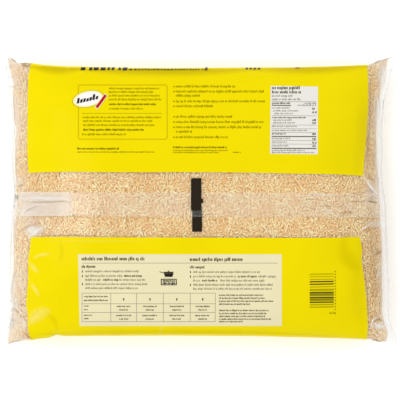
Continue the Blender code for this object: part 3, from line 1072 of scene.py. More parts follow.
def clear_material(name, haze, ripple=0.35, dimple=0.45, tone=(0.93, 0.92, 0.90), shine=1.0):
    """Thin clear film: it shows what is behind it, mirrors a little light, and is slightly milky.
    Only its outer side mirrors, so that the light that left the rice isn't sent back to it."""
    # With no shine and a tone of its own, this material also draws the painted highlight and shade
    # strokes, as strongly as their milk says
    material, tree, shader, place = start_material(name)
    shader.inputs["Base Color"].default_value = (*tone, 1)
    shader.inputs["Roughness"].default_value = 0.5
    shader.inputs["Specular IOR Level"].default_value = 0.0
    clear = add_node(tree, "ShaderNodeBsdfTransparent")
    mirror = add_node(tree, "ShaderNodeBsdfGlossy", {"Roughness": settings()[0].gloss})
    fresnel = add_node(tree, "ShaderNodeFresnel", {"IOR": 1.5})
    side = add_node(tree, "ShaderNodeNewGeometry")
    outer = add_node(tree, "ShaderNodeMath", {0: shine}, operation="SUBTRACT", use_clamp=True)
    mirrored = add_node(tree, "ShaderNodeMath", operation="MULTIPLY")
    cloud = add_node(tree, "ShaderNodeTexNoise", {"Scale": 45.0, "Detail": 5.0})
    milk = add_node(tree, "ShaderNodeMapRange", {"From Min": 0.3, "From Max": 0.75})
    milk.inputs["To Min"].default_value = haze * 0.5
    milk.inputs["To Max"].default_value = haze * 1.6
    local = add_node(tree, "ShaderNodeAttribute", attribute_name="milk")
    whole = add_node(tree, "ShaderNodeMath", operation="ADD", use_clamp=True)
    milky = add_node(tree, "ShaderNodeMixShader")
    glossy = add_node(tree, "ShaderNodeMixShader")
    ripples = add_ripple(tree, place, shader, ripple, dimple)
    link = tree.links.new
    link(place, cloud.inputs["Vector"])
    link(cloud.outputs["Fac"], milk.inputs["Value"])
    link(ripples.outputs["Normal"], mirror.inputs["Normal"])
    link(ripples.outputs["Normal"], fresnel.inputs["Normal"])
    link(milk.outputs["Result"], whole.inputs[0])
    link(local.outputs["Fac"], whole.inputs[1])
    link(whole.outputs[0], milky.inputs["Fac"])
    link(clear.outputs[0], milky.inputs[1])
    link(shader.outputs[0], milky.inputs[2])
    link(side.outputs["Backfacing"], outer.inputs[1])
    link(fresnel.outputs[0], mirrored.inputs[0])
    link(outer.outputs[0], mirrored.inputs[1])
    link(mirrored.outputs[0], glossy.inputs["Fac"])
    link(milky.outputs[0], glossy.inputs[1])
    link(mirror.outputs[0], glossy.inputs[2])
    link(glossy.outputs[0], tree.nodes["Material Output"].inputs["Surface"])
    return material


# Colour of the painted shade in the places between the grains of the imported rice, and how its
# grains are turned
PAINTED_GAP_SHADE = (0.64, 0.35, 0.09)
FIELD_TURNS = (0.5, 1.5, 2.6)


def rice_ramp(tree):
    """The shades of rice, from the deepest to the palest."""
    rice = settings()[1]
    ramp = add_node(tree, "ShaderNodeValToRGB")
    ramp.color_ramp.elements[0].color = (*rice.deep, 1)
    ramp.color_ramp.elements[1].color = (*rice.pale, 1)
    return ramp


def rice_material():
    """Hard, slightly waxy grains, each with a shade of its own from its tint attribute."""
    material, tree, shader, place = start_material("rice")
    tint = add_node(tree, "ShaderNodeAttribute", attribute_name="tint")
    cloud = add_node(tree, "ShaderNodeTexNoise", {"Scale": 420.0, "Detail": 2.0})
    share = add_node(tree, "ShaderNodeMath", {1: 0.35, 2: -0.17}, operation="MULTIPLY_ADD")
    both = add_node(tree, "ShaderNodeMath", operation="ADD", use_clamp=True)
    ramp = rice_ramp(tree)
    link = tree.links.new
    link(place, cloud.inputs["Vector"])
    link(cloud.outputs["Fac"], share.inputs[0])
    link(tint.outputs["Fac"], both.inputs[0])
    link(share.outputs[0], both.inputs[1])
    link(both.outputs[0], ramp.inputs["Fac"])
    link(ramp.outputs["Color"], shader.inputs["Base Color"])
    shader.inputs["Roughness"].default_value = 0.42
    shader.inputs["Specular IOR Level"].default_value = 0.3
    return material


def grain_field_group():
    """Long cells that all lie one way: the height of each as a grain, and a shade of its own."""
    group = new_group(
        "grain field",
        (("Place", "NodeSocketVector", None), ("Turn", "NodeSocketFloat", 0.0)),
        (("Height", "NodeSocketFloat", None), ("Shade", "NodeSocketFloat", None)),
    )
    start, end = group.nodes.new("NodeGroupInput"), group.nodes.new("NodeGroupOutput")
    turn = add_node(group, "ShaderNodeVectorRotate", rotation_type="Z_AXIS")
    stretch = add_node(group, "ShaderNodeVectorMath", operation="MULTIPLY")
    stretch.inputs[1].default_value = (170, 520, 520)
    cells = add_node(group, "ShaderNodeTexVoronoi", {"Scale": 1.0})
    height = add_node(group, "ShaderNodeMath", {0: 1.0}, operation="SUBTRACT")
    split = add_node(group, "ShaderNodeSeparateColor")
    link = group.links.new
    link(start.outputs["Place"], turn.inputs["Vector"])
    link(start.outputs["Turn"], turn.inputs["Angle"])
    link(turn.outputs[0], stretch.inputs[0])
    link(stretch.outputs[0], cells.inputs["Vector"])
    link(cells.outputs["Distance"], height.inputs[1])
    link(cells.outputs["Color"], split.inputs[0])
    link(height.outputs[0], end.inputs["Height"])
    link(split.outputs[0], end.inputs["Shade"])
    return group


def packed_rice_material():
    """Rice seen as one mass: grain fields that lie three ways, of which the highest grain shows."""
    material, tree, shader, place = start_material("packed rice")
    field = grain_field_group()
    link = tree.links.new
    height = shade = None
    for turn in FIELD_TURNS:
        layer = add_node(tree, "ShaderNodeGroup", node_tree=field)
        layer.inputs["Turn"].default_value = turn
        link(place, layer.inputs["Place"])
        if height is None:
            height, shade = layer.outputs["Height"], layer.outputs["Shade"]
            continue
        above = add_node(tree, "ShaderNodeMath", operation="GREATER_THAN")
        highest = add_node(tree, "ShaderNodeMath", operation="MAXIMUM")
        chosen = add_node(tree, "ShaderNodeMix")
        link(layer.outputs["Height"], above.inputs[0])
        link(height, above.inputs[1])
        link(layer.outputs["Height"], highest.inputs[0])
        link(height, highest.inputs[1])
        link(above.outputs[0], chosen.inputs[0])
        link(shade, chosen.inputs[2])
        link(layer.outputs["Shade"], chosen.inputs[3])
        height, shade = highest.outputs[0], chosen.outputs[0]
    ramp = rice_ramp(tree)
    # Painted shade: the colour runs down to the gap colour where the grain fields are low, between
    # the grains
    gaps = add_node(tree, "ShaderNodeMapRange", {"From Min": 0.45, "From Max": 0.75})
    tint = add_node(tree, "ShaderNodeMix", data_type="RGBA")
    tint.inputs[6].default_value = (*PAINTED_GAP_SHADE, 1)
    bumps = add_node(tree, "ShaderNodeBump", {"Strength": 0.7, "Distance": 0.0012})
    link(shade, ramp.inputs["Fac"])
    link(ramp.outputs["Color"], tint.inputs[7])
    link(height, gaps.inputs["Value"])
    link(gaps.outputs["Result"], tint.inputs[0])
    link(tint.outputs[2], shader.inputs["Base Color"])
    link(height, bumps.inputs["Height"])
    link(bumps.outputs["Normal"], shader.inputs["Normal"])
    shader.inputs["Roughness"].default_value = 0.5
    return material


# Rice


def make_grain(name, length, width, thickness, bend):
    """One grain along X, blunt and slightly bent, with few faces."""
    bpy.ops.object.select_all(action="DESELECT")
    bpy.ops.mesh.primitive_uv_sphere_add(segments=6, ring_count=6, radius=0.5)
    grain = bpy.context.object
    grain.name = name
    with editing(grain):
        bpy.ops.mesh.select_all(action="SELECT")
        bpy.ops.transform.rotate(value=math.pi / 2, orient_axis="Y", center_override=(0, 0, 0))
    points = points_of(grain)
    end = np.abs(points[:, 0]) * 2
    fuller = 1 + 0.45 * end**3 * (end < 0.99)
    points[:, 1] *= fuller * width
    points[:, 2] *= fuller * thickness
    points[:, 0] *= length
    points[:, 2] += bend * (0.25 - (points[:, 0] / length) ** 2)
    move_points(grain, points)
    grain.data.shade_smooth()
    return grain


def segment_gaps(centre, axis, centres, axes, half):
    """Least distances between one segment and many, all of the same half length."""
    apart = centre - centres
    cosine = axes @ axis
    own = apart @ axis
    other = (apart * axes).sum(axis=1)
    s = np.clip((cosine * other - own) / np.maximum(1 - cosine**2, 1e-6), -half, half)
    t = np.clip(cosine * s + other, -half, half)
    s = np.clip(cosine * t - own, -half, half)
    return np.linalg.norm(apart + s[:, None] * axis - t[:, None] * axes, axis=1)


def sample_surface(obj, wanted, count, rng):
    """Random points, with their normals, spread evenly over the wanted faces of a mesh."""
    mesh = obj.data
    mesh.calc_loop_triangles()
    triangles = np.empty(len(mesh.loop_triangles) * 3, int)
    mesh.loop_triangles.foreach_get("vertices", triangles)
    owners = np.empty(len(mesh.loop_triangles), int)
    mesh.loop_triangles.foreach_get("polygon_index", owners)
    corners = points_of(obj)[triangles.reshape(-1, 3)]
    cross = np.cross(corners[:, 1] - corners[:, 0], corners[:, 2] - corners[:, 0])
    area = np.linalg.norm(cross, axis=1) / 2 * wanted[owners]
    chosen = rng.choice(len(area), count, p=area / area.sum())
    r1, r2 = np.sqrt(rng.random(count)), rng.random(count)
    weights = np.column_stack((1 - r1, r1 * (1 - r2), r1 * r2))
    points = (corners[chosen] * weights[:, :, None]).sum(axis=1)
    normals = cross[chosen] / np.linalg.norm(cross[chosen], axis=1)[:, None]
    return points, normals


Grains = namedtuple("Grains", "centres axes normals")

# How the grains are laid: for each layer, how deep it starts and how many places are tried
LAYERS = ((0.00095, 48000), (0.0021, 34000), (0.0033, 14000))

# Least distance between the middle lines of two grains, and the thickness of the bag at its ends
# below which no loose grain lies
GRAIN_GAP = 0.00135
THIN_END = 0.0062

# How many pixels grains reach under the edge of the print
PRINT_ROOM = 4.0

# How the grains' flow winds: how often it changes along the bag, and by how many half turns
FLOW_OFTEN = 32.0
FLOW_TURNS = 1.6

# How far single grains stray from it: their turn and tilt in radians, and their depth
TURN_SPREAD, TILT_SPREAD = 0.8, 0.10
SINK_SPREAD = 0.0005

# How near the film a grain's ends may come, as a share of its thickness, and how far it is pushed
# in for it at most
END_ROOM = 0.56
MOST_PUSH = 0.0025

# How single grains differ: their size, its limits, and their shade, which also drifts over the bag
SIZE_SPREAD = 0.05
SIZE_LIMITS = (0.86, 1.12)
TINT_SPREAD = 0.26
DRIFT_OFTEN, DRIFT_SHARE = 70.0, 0.5

# How deep the core of rice lies below the film, that depth's share of a thin place, and half the
# core's thickness against the film's where the film is pressed together
CORE_DEPTH = 0.0037
CORE_SHARE = 0.22
CORE_HALF = 0.35

# The cells that neighbouring grains are looked up in, longer than a grain
CELL = 0.008


def lay_grains(shell, rng):
    """Places for grains just inside the clear film, layer by layer, with room between their middle
    lines."""
    rice = settings()[1]
    half = (rice.length - rice.width) / 2
    tree = tree_of(shell)
    face_centres, face_normals = face_centres_and_normals(shell)
    seen = to_photo(face_centres)
    wanted = ~between_borders(seen, PRINT_ROOM) | in_band(seen, face_normals[:, 2], -PRINT_ROOM)
    centres, axes, kept_normals, cells = [], [], [], {}
    for depth, tries in LAYERS:
        points, normals = sample_surface(shell, wanted, tries, rng)
        turns = rng.normal(0.0, TURN_SPREAD, tries)
        tilts = rng.normal(0.0, TILT_SPREAD, tries)
        sinks = rng.random(tries) * SINK_SPREAD
        for point, normal, turn, tilt, sink in zip(points, normals, turns, tilts, sinks):
            normal = Vector(normal)
            inside = Vector(point) - normal * (depth + sink)
            behind = tree.ray_cast(inside - normal * 0.0004, -normal)
            if behind[0] is None or behind[3] < THIN_END / 2:
                continue
            if is_end(inside.x) and end_section(tree, inside.x, inside.y)[1] < THIN_END:
                continue
            flow = noise.noise(inside * FLOW_OFTEN) * math.pi * FLOW_TURNS + turn
            side = normal.orthogonal().normalized()
            flat = (side * math.cos(flow) + normal.cross(side) * math.sin(flow)).normalized()
            axis = (flat * math.cos(tilt) + normal * math.sin(tilt)).normalized()
            push = 0.0
            for tip in (inside + axis * half, inside - axis * half):
                place, outward, _, distance = tree.find_nearest(tip)
                inner = distance if (tip - place).dot(outward) < 0 else -distance
                push = max(push, rice.thickness * END_ROOM - inner)
            if push > MOST_PUSH:
                continue
            inside = inside - normal * push
            key = tuple(int(math.floor(c / CELL)) for c in inside)
            near = [
                n
                for i in (-1, 0, 1)
                for j in (-1, 0, 1)
                for k in (-1, 0, 1)
                for n in cells.get((key[0] + i, key[1] + j, key[2] + k), ())
            ]
            centre, line = np.array(inside), np.array(axis)
            if near:
                others = np.array([centres[n] for n in near])
                their_axes = np.array([axes[n] for n in near])
                if segment_gaps(centre, line, others, their_axes, half).min() < GRAIN_GAP:
                    continue
            cells.setdefault(key, []).append(len(centres))
            centres.append(centre)
            axes.append(line)
            kept_normals.append(np.array(normal))
    return Grains(np.array(centres), np.array(axes), np.array(kept_normals))


def join_copies(name, source, origins, frames, tints):
    """One mesh of many copies of a small one, each with a tint of its own. Frames hold each copy's
    three axes, with its scale."""
    base = points_of(source)
    loops = np.empty(len(source.data.loops), int)
    source.data.loops.foreach_get("vertex_index", loops)
    starts = np.empty(len(source.data.polygons), int)
    source.data.polygons.foreach_get("loop_start", starts)
    count = len(origins)
    points = np.einsum("vi,nij->nvj", base, frames) + origins[:, None, :]
    shift = np.arange(count)[:, None]
    mesh = bpy.data.meshes.new(name)
    mesh.vertices.add(count * len(base))
    mesh.vertices.foreach_set("co", points.ravel())
    mesh.loops.add(count * len(loops))
    mesh.loops.foreach_set("vertex_index", (loops + shift * len(base)).ravel())
    mesh.polygons.add(count * len(starts))
    mesh.polygons.foreach_set("loop_start", (starts + shift * len(loops)).ravel())
    mesh.update(calc_edges=True)
    tint = mesh.attributes.new("tint", "FLOAT", "POINT")
    tint.data.foreach_set("value", np.repeat(tints, len(base)))
    joined = bpy.data.objects.new(name, mesh)
    bpy.context.scene.collection.objects.link(joined)
    return joined


# Each kind of grain: its name, its share, its length and thickness against a whole one, its bend,
# and the middle of its shades, from 0 for the deepest to 1 for the palest
Kind = namedtuple("Kind", "name share length thickness bend pale_share")
KINDS = (
    Kind("pale_grains", 0.22, 1.0, 1.0, 0.0006, 0.75),
    Kind("cream_grains", 0.20, 0.95, 1.05, -0.0004, 0.65),
    Kind("golden_grains", 0.20, 1.04, 0.95, -0.0005, 0.50),
    Kind("amber_grains", 0.16, 0.94, 1.05, 0.0009, 0.25),
    Kind("short_grains", 0.12, 0.82, 1.0, 0.0004, 0.45),
    Kind("broken_grains", 0.10, 0.62, 1.0, 0.0002, 0.60),
)


def make_rice(shell, rng):
    """All the loose grains, one piece for each kind."""
    rice = settings()[1]
    grains = lay_grains(shell, rng)
    kinds = rng.choice(len(KINDS), len(grains.centres), p=[k.share for k in KINDS])
    sides = np.cross(grains.normals, grains.axes)
    sides /= np.linalg.norm(sides, axis=1)[:, None]
    frames = np.stack((grains.axes, sides, np.cross(grains.axes, sides)), axis=1)
    sizes = rng.normal(1.0, SIZE_SPREAD, (len(kinds), 3)).clip(*SIZE_LIMITS)
    drift = np.array([noise.noise(Vector(c) * DRIFT_OFTEN) for c in grains.centres])
    tints = rng.normal(0.0, TINT_SPREAD, len(kinds)) + DRIFT_SHARE * drift
    material = rice_material()
    for number, kind in enumerate(KINDS):
        grain = make_grain(
            "one_grain", rice.length * kind.length, rice.width,
            rice.thickness * kind.thickness, kind.bend,
        )
        mine = kinds == number
        tint = (kind.pale_share + tints[mine]).clip(0, 1)
        piece = join_copies(
            kind.name, grain, grains.centres[mine], frames[mine] * sizes[mine][:, :, None], tint
        )
        piece.data.shade_smooth()
        bpy.data.objects.remove(grain)
        dress(piece, material)


def make_core():
    """The rice below the loose grains: the film's own form, drawn in less where the bag is thin.
    What lies beyond the end of the rice is drawn onto that end, which closes the core."""
    core = copy_of_bag("rice_core")
    smooth_shell(core, 1)
    nudge_outline(core)
    nudge_ends(core)
    tree = tree_of(core)
    thick = end_thickness(core)[1]
    shares = (thick * CORE_SHARE, thick * (0.5 - CORE_HALF * kept_share(thick)))
    inset = np.minimum(CORE_DEPTH, np.maximum(*shares))
    points = points_of(core)
    seen = to_photo(points)
    left, right = along_border(LEFT_RICE, seen[:, 1]), along_border(RIGHT_RICE, seen[:, 1])
    ends = (seen[:, 0] < left) | (seen[:, 0] > right)
    seen[:, 0] = np.clip(seen[:, 0], left, right)
    closed = from_photo(seen)
    points -= normals_of(core) * inset[:, None]
    lost = []
    for number in np.flatnonzero(ends):
        middle, thickness = end_section(tree, *closed[number, :2])
        points[number] = (*closed[number, :2], middle)
        if thickness == 0:
            lost.append(number)
    kept = np.setdiff1d(np.arange(len(points)), lost)
    near = KDTree(len(kept))
    for number in kept:
        near.insert(points[number], number)
    near.balance()
    for number in lost:
        points[number] = near.find(points[number])[0]
    move_points(core, points)
    with editing(core, "VERT"):
        bpy.ops.mesh.select_all(action="SELECT")
        bpy.ops.mesh.remove_doubles(threshold=MERGE)
    core.data.shade_smooth()
    return dress(core, packed_rice_material())


# Shapes that lie on the film. A sheet is a grid of places in the photograph.


def film_tree():
    """Both parts of the film as one, for rays."""
    points, faces = [], []
    for name in ("clear_film", "printed_film"):
        mesh = bpy.data.objects[name].data
        shift = len(points)
        points += [v.co for v in mesh.vertices]
        faces += [[shift + i for i in p.vertices] for p in mesh.polygons]
    return BVHTree.FromPolygons(points, faces)


def quad_sheet(corners, step=2.0):
    """A four-sided field. Its corners start at the upper left and go clockwise."""
    upper_left, upper_right, lower_right, lower_left = (np.array(c, float) for c in corners)
    columns = max(1, math.ceil(np.linalg.norm(upper_right - upper_left) / step)) + 1
    rows = max(1, math.ceil(np.linalg.norm(lower_left - upper_left) / step)) + 1
    u = np.linspace(0, 1, columns)[:, None, None]
    v = np.linspace(0, 1, rows)[None, :, None]
    upper = upper_left + u * (upper_right - upper_left)
    lower = lower_left + u * (lower_right - lower_left)
    return upper + v * (lower - upper)


def block_sheet(left, upper, right, lower, step=2.0):
    return quad_sheet(((left, upper), (right, upper), (right, lower), (left, lower)), step)


def rule_sheet(start, end, thickness):
    """A straight rule between two places."""
    start, end = np.array(start, float), np.array(end, float)
    run = (end - start) / np.linalg.norm(end - start)
    across = np.array((-run[1], run[0])) * thickness / 2
    return quad_sheet((start - across, end - across, end + across, start + across))


def oval_sheet(centre, reach, turn, inner=0.0, rings=8):
    """An oval, or a ring of one where inner is the share of it that is left open."""
    shares = np.linspace(inner, 1.0, rings)[:, None]
    angles = np.linspace(0, 2 * math.pi, 49)[None, :]
    along, across = shares * np.cos(angles) * reach[0], shares * np.sin(angles) * reach[1]
    x = centre[0] + along * math.cos(turn) - across * math.sin(turn)
    y = centre[1] + along * math.sin(turn) + across * math.cos(turn)
    return np.stack((x, y), axis=2)


def round_box_sheets(left, upper, right, lower, radius, thickness):
    """The outline of a box with round corners."""
    places = []
    corners = ((right, upper, -90), (right, lower, 0), (left, lower, 90), (left, upper, 180))
    for x, y, start in corners:
        middle = (x - math.copysign(radius, x - left - 1), y - math.copysign(radius, y - upper - 1))
        for turn in (0, 30, 60, 90):
            angle = math.radians(start + turn)
            places.append(
                (middle[0] + radius * math.cos(angle), middle[1] + radius * math.sin(angle))
            )
    return [rule_sheet(a, b, thickness) for a, b in zip(places, places[1:] + places[:1])]


# Letters, by their size: from one to the next, the gap after a word, and the reach of those that
# stand above the others or hang below them, with the share of letters up to each kind
LETTER_PITCH, WORD_GAP = 0.62, 0.8
TALL, TALL_UP_TO = 1.8, 0.22
LOW, LOW_UP_TO = 1.7, 0.32


def word_sheets(line, rng):
    """A line of words, each a few small blocks that stand for its letters."""
    sheets, x = [], line.start
    pitch = line.size * LETTER_PITCH
    while x < line.end - pitch:
        letters = min(int(rng.integers(2, 10)), max(1, round((line.end - x) / pitch)))
        for _ in range(letters):
            width = pitch * line.weight * rng.uniform(0.8, 1.2)
            above = below = line.size / 2
            kind = rng.random()
            if kind < TALL_UP_TO:
                above *= TALL
            elif kind < LOW_UP_TO:
                below *= LOW
            sheets.append(block_sheet(x, line.y - above, x + width, line.y + below, 4.0))
            x += pitch
        x += pitch * WORD_GAP
    return sheets


def lay(name, sheets, material, lift=LIFT, depth_of=None, milk=None):
    """Casts sheets from the camera onto the film and lifts them off it by a hair. Milk is how milky
    each point is, where that matters, and on the strokes how strongly their painted tone shows."""
    tree, eye = film_tree(), camera_place()
    points, faces = [], []
    for sheet in sheets:
        columns, rows = sheet.shape[:2]
        first = len(points)
        for px, py in sheet.reshape(-1, 2):
            target = Vector(
                ((px - PHOTO_MIDDLE[0]) * PIXEL, (PHOTO_MIDDLE[1] - py) * PIXEL, SIGHT_HEIGHT)
            )
            place, normal = tree.ray_cast(eye, (target - eye).normalized())[:2]
            if place is None:
                place, normal = tree.find_nearest(target)[:2]
            if normal.z < 0:
                normal = -normal
            points.append(place + normal * (depth_of(px, py) if depth_of else lift))
        for i in range(columns - 1):
            for j in range(rows - 1):
                a = first + i * rows + j
                faces.append((a, a + 1, a + rows + 1, a + rows))
    mesh = bpy.data.meshes.new(name)
    mesh.from_pydata(points, [], faces)
    piece = bpy.data.objects.new(name, mesh)
    bpy.context.scene.collection.objects.link(piece)
    if milk is not None:
        set_milk(piece, milk)
    with editing(piece):
        bpy.ops.mesh.select_all(action="SELECT")
        bpy.ops.mesh.remove_doubles(threshold=FINE_MERGE)
    mesh.shade_smooth()
    return dress(piece, material)


# Steps along and rows across a stroke, and how quickly it widens from its ends
STROKE_STEP_LENGTH = 1.2
STROKE_ROWS = 7
STROKE_WIDENING = 0.7


def stroke_sheet(places, width, one_side):
    """A soft stroke along a curved line, widest in its middle, and how strongly its paint shows at
    each point before its amount. A stroke on one side lies to the left of the line's direction as
    the photograph shows it."""
    places = np.array(places, float)
    runs = np.linalg.norm(np.diff(places, axis=0), axis=1)
    at = np.concatenate(([0.0], np.cumsum(runs)))
    steps = max(4, math.ceil(at[-1] / STROKE_STEP_LENGTH)) + 1
    along = np.linspace(0, at[-1], steps)
    line = np.column_stack(
        [along_border(np.column_stack((at, places[:, i])), along) for i in (0, 1)]
    )
    slope = np.gradient(line, axis=0)
    slope /= np.linalg.norm(slope, axis=1)[:, None]
    swell = taper(along / at[-1], 0.06) ** STROKE_WIDENING
    across = np.linspace(-1, 0 if one_side else 1, STROKE_ROWS)
    offset = np.column_stack((-slope[:, 1], slope[:, 0])) * (swell * width)[:, None]
    sheet = line[:, None, :] + offset[:, None, :] * across[None, :, None]
    soft = (1 - across**2) ** 2
    return sheet, swell[:, None] * soft[None, :]


def lay_strokes(name, folds, tone, lift, one_side):
    """Soft strokes of one tone on the film: painted highlights where folds would catch the light,
    painted shade, and the lines along the fins.
    """
    # Here each fold is one stroke, and its milk is how strongly its painted tone shows
    sheets, milk = [], []
    for fold in folds:
        sheet, soft = stroke_sheet(fold.places, fold.width, one_side)
        sheets.append(sheet)
        milk.append((soft * fold.amount).ravel())
    material = clear_material(name.replace("_", " "), 0.0, tone=tone, shine=0.0)
    return lay(name, sheets, material, lift, milk=np.concatenate(milk))


def set_milk(piece, milk):
    """Stores how milky each point of clear film is, and on the strokes how strongly their painted
    tone shows.
    """
    attribute = piece.data.attributes.new("milk", "FLOAT", "POINT")
    attribute.data.foreach_set("value", milk)


def milk_of(seen, upward):
    """How milky the clear film is at places in the photograph, with its painted highlights, from
    ovals on its upper side.
    """
    milk = np.zeros(len(seen))
    for haze in MILK_AND_HIGHLIGHTS:
        away = (seen[:, :2] - haze.place) / haze.reach
        milk += haze.amount * np.exp(-((away**2).sum(axis=1)))
    return milk * (upward > 0)


def make_film():
    """The closed shell of film, with the milk of each point, which also holds its painted
    highlights.
    """
    shell = copy_of_bag("clear_film")
    crease_fins(shell)
    smooth_shell(shell, 2)
    milk = thin_fins(shell)
    nudge_outline(shell)
    nudge_ends(shell)
    crinkle(shell)
    milk += milk_of(to_photo(points_of(shell)), normals_of(shell)[:, 2])
    set_milk(shell, milk.clip(0, MOST_MILK))
    return shell


# Operators


class RICEBAG_OT_core(bpy.types.Operator):
    """Make the core of rice"""

    bl_idname = "ricebag.core"
    bl_label = "Rice core"

    def execute(self, context):
        make_core()
        return {"FINISHED"}


class RICEBAG_OT_film(bpy.types.Operator):
    """Make the clear and the printed film, and the grains just inside the clear parts"""

    bl_idname = "ricebag.film"
    bl_label = "Film and grains"

    def execute(self, context):
        film = settings()[0]
        shell = make_film()
        make_rice(shell, np.random.default_rng(8))
        panel = cut_panels(shell)
        shell.data.shade_smooth()
        panel.data.shade_smooth()
        dress(shell, clear_material("clear film", film.haze))
        dress(panel, ink_material("yellow print", film.yellow))
        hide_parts(NODE)
        return {"FINISHED"}


class RICEBAG_OT_seam(bpy.types.Operator):
    """Make the strip of the back seam"""

    bl_idname = "ricebag.seam"
    bl_label = "Back seam"

    def execute(self, context):
        ends = (SEAM[0][0], SEAM[1][0])
        fold_start, fold_y, fold_end = SEAM_FOLD

        def depth(px, py):
            upper = np.interp(px, ends, (SEAM[0][1], SEAM[1][1]))
            lower = np.interp(px, ends, (SEAM[3][1], SEAM[2][1]))
            edge = min(py - upper, lower - py)
            height = SEAM_LIFT + SEAM_RISE * min(edge / SEAM_EDGE, 1.0)
            along = max(min(px - fold_start, fold_end - px, SEAM_FOLD_RUN), 0) / SEAM_FOLD_RUN
            away = (py - fold_y) / SEAM_FOLD_WIDTH
            return height + SEAM_FOLD_HEIGHT * along * math.exp(-(away**2))

        sheet = quad_sheet(SEAM, 0.9)
        film = settings()[0]
        material = clear_material("seam film", film.haze, 0.45, 0.35)
        strip = lay("back_seam", [sheet], material, depth_of=depth)
        seen = to_photo(points_of(strip))
        white = np.clip((WHITE_END + WHITE_RUN / 2 - seen[:, 0]) / WHITE_RUN, 0, 1)
        faded = np.clip((seen[:, 0] - ends[0]) / SEAM_FADE, 0, 1)
        over_mark = np.exp(-(((seen[:, 0] - MARK_MIDDLE) / MARK_REACH) ** 2))
        set_milk(strip, (SEAM_MILK + WHITE_MILK * white - MARK_CLEARING * over_mark) * faded)
        return {"FINISHED"}


class RICEBAG_OT_strokes(bpy.types.Operator):
    """Make the soft strokes of painted highlight and painted shade on the film and the print, and
    the lines along the fins
    """

    bl_idname = "ricebag.folds"
    bl_label = "Strokes"

    def execute(self, context):
        for stroke in STROKES:
            lay_strokes(*stroke)
        return {"FINISHED"}


class RICEBAG_OT_panels(bpy.types.Operator):
    """Make the pale fields of the print"""

    bl_idname = "ricebag.panels"
    bl_label = "Pale panels"

    def execute(self, context):
        disc = oval_sheet(DISC_MIDDLE, DISC_REACH, DISC_TURN)
        lay("cream_panel", [quad_sheet(CREAM_PANEL, PANEL_STEP)], ink("cream"))
        lay("white_panel", [quad_sheet(WHITE_PANEL, PANEL_STEP)], ink("white"))
        lay("white_disc", [disc], ink("bright"), 2 * LIFT)
        return {"FINISHED"}


class RICEBAG_OT_words(bpy.types.Operator):
    """Make the fields of small blocks that stand for words"""

    bl_idname = "ricebag.words"
    bl_label = "Word blocks"

    def execute(self, context):
        rng = np.random.default_rng(5)
        upper = [s for line in BOX_WORDS + LIST_WORDS for s in word_sheets(line, rng)]
        left, right, half = BULLET_SPAN
        upper += [block_sheet(left, y - half, right, y + half) for y in BULLETS]
        table = [s for line in TABLE_WORDS for s in word_sheets(line, rng)]
        for y in TABLE_FIGURES:
            table += word_sheets(Line(FIGURE_SPAN[0], y, FIGURE_SPAN[1], TEXT, BOLD), rng)
        recipe = [s for line in RECIPE_WORDS for s in word_sheets(line, rng)]
        for x, y in RECIPE_NUMBERS:
            recipe.append(block_sheet(x, y - NUMBER_HALF, x + NUMBER_WIDTH, y + NUMBER_HALF))
        wide, top, bottom = GRID_FIGURE
        for left, right in zip(GRID_COLUMNS[1:], GRID_COLUMNS[2:]):
            middle = (left + right) / 2
            recipe.append(block_sheet(middle - wide, top, middle + wide, bottom))
            for y, half in CELL_WORDS:
                recipe += word_sheets(Line(middle - half, y, middle + half, FINE, BOLD), rng)
        lay("upper_words", upper, ink("brown"))
        lay("table_words", table, ink("dark"), 2 * LIFT)
        lay("recipe_words", recipe, ink("dark"), 2 * LIFT)
        return {"FINISHED"}


class RICEBAG_OT_rules(bpy.types.Operator):
    """Make the thin rules, the frames and the stripes"""

    bl_idname = "ricebag.rules"
    bl_label = "Rules and stripes"

    def execute(self, context):
        outer, inner = (
            oval_sheet(DISC_MIDDLE, reach, DISC_TURN, open_share, 3)
            for reach, open_share in (OUTER_RING, INNER_RING)
        )
        lay("disc_ring", [outer], ink("olive"), 3 * LIFT)
        lay("disc_inner_ring", [inner], ink("lemon"), 3 * LIFT)
        box = round_box_sheets(*ROUND_BOX) + [rule_sheet(*BOX_RULE)]
        lay("olive_frame", box, ink("olive"))
        left, right = TABLE_SPAN
        thin = [rule_sheet((left, y), (right, y + TABLE_SLOPE), 0.35) for y in TABLE_RULES]
        thin.append(rule_sheet(*HEADING_RULE))
        first, last, top, bottom = GRID_COLUMNS[0], GRID_COLUMNS[-1], GRID_ROWS[0], GRID_ROWS[-1]
        thin += [rule_sheet((first, y), (last, y), GRID_LINE) for y in GRID_ROWS]
        thin += [rule_sheet((x, top), (x, bottom), GRID_LINE) for x in GRID_COLUMNS]
        lay("thin_rules", thin, ink("grey"), 2 * LIFT)
        thick = [rule_sheet((BAR_LEFT, y), (right, y + TABLE_SLOPE), 0.9) for y in TABLE_BARS]
        thick.append(rule_sheet(*SHORT_BAR))
        lay("thick_rules", thick, ink("dark"), 2 * LIFT)
        left, right = STRIPE_SPAN
        for shade in ("bronze", "moss", "dark"):
            stripes = [
                rule_sheet((left, s.y + STRIPE_SLOPE), (right, s.y - STRIPE_SLOPE), s.thickness)
                for s in STRIPES
                if s.ink == shade
            ]
            lay(shade + "_stripes", stripes, ink(shade))
        return {"FINISHED"}


def leaning_block(x, width, foot):
    """The foot of a large letter's block that leans to the right, cut off by the upper fold."""
    return quad_sheet(
        ((x + 1, FOLD_HEAD), (x + width, FOLD_HEAD), (x + width - 1, foot), (x, foot))
    )


def fold_block_sheets(rng):
    """The feet of the large letters along the upper fold."""
    (x, end), (smaller_from, smaller) = FOLD_RUN, FOLD_SMALLER
    blocks = []
    while x < end:
        size = 1.0 if x < smaller_from else smaller
        width, foot = rng.uniform(*FOLD_WIDTHS) * size, rng.uniform(*FOLD_FEET)
        blocks.append(leaning_block(x, width, foot))
        x += width + rng.choice(FOLD_GAPS, p=FOLD_GAP_SHARES) * size
    return blocks + [leaning_block(x, LAST_WIDTH, LAST_FOOT) for x in LAST_BLOCKS]


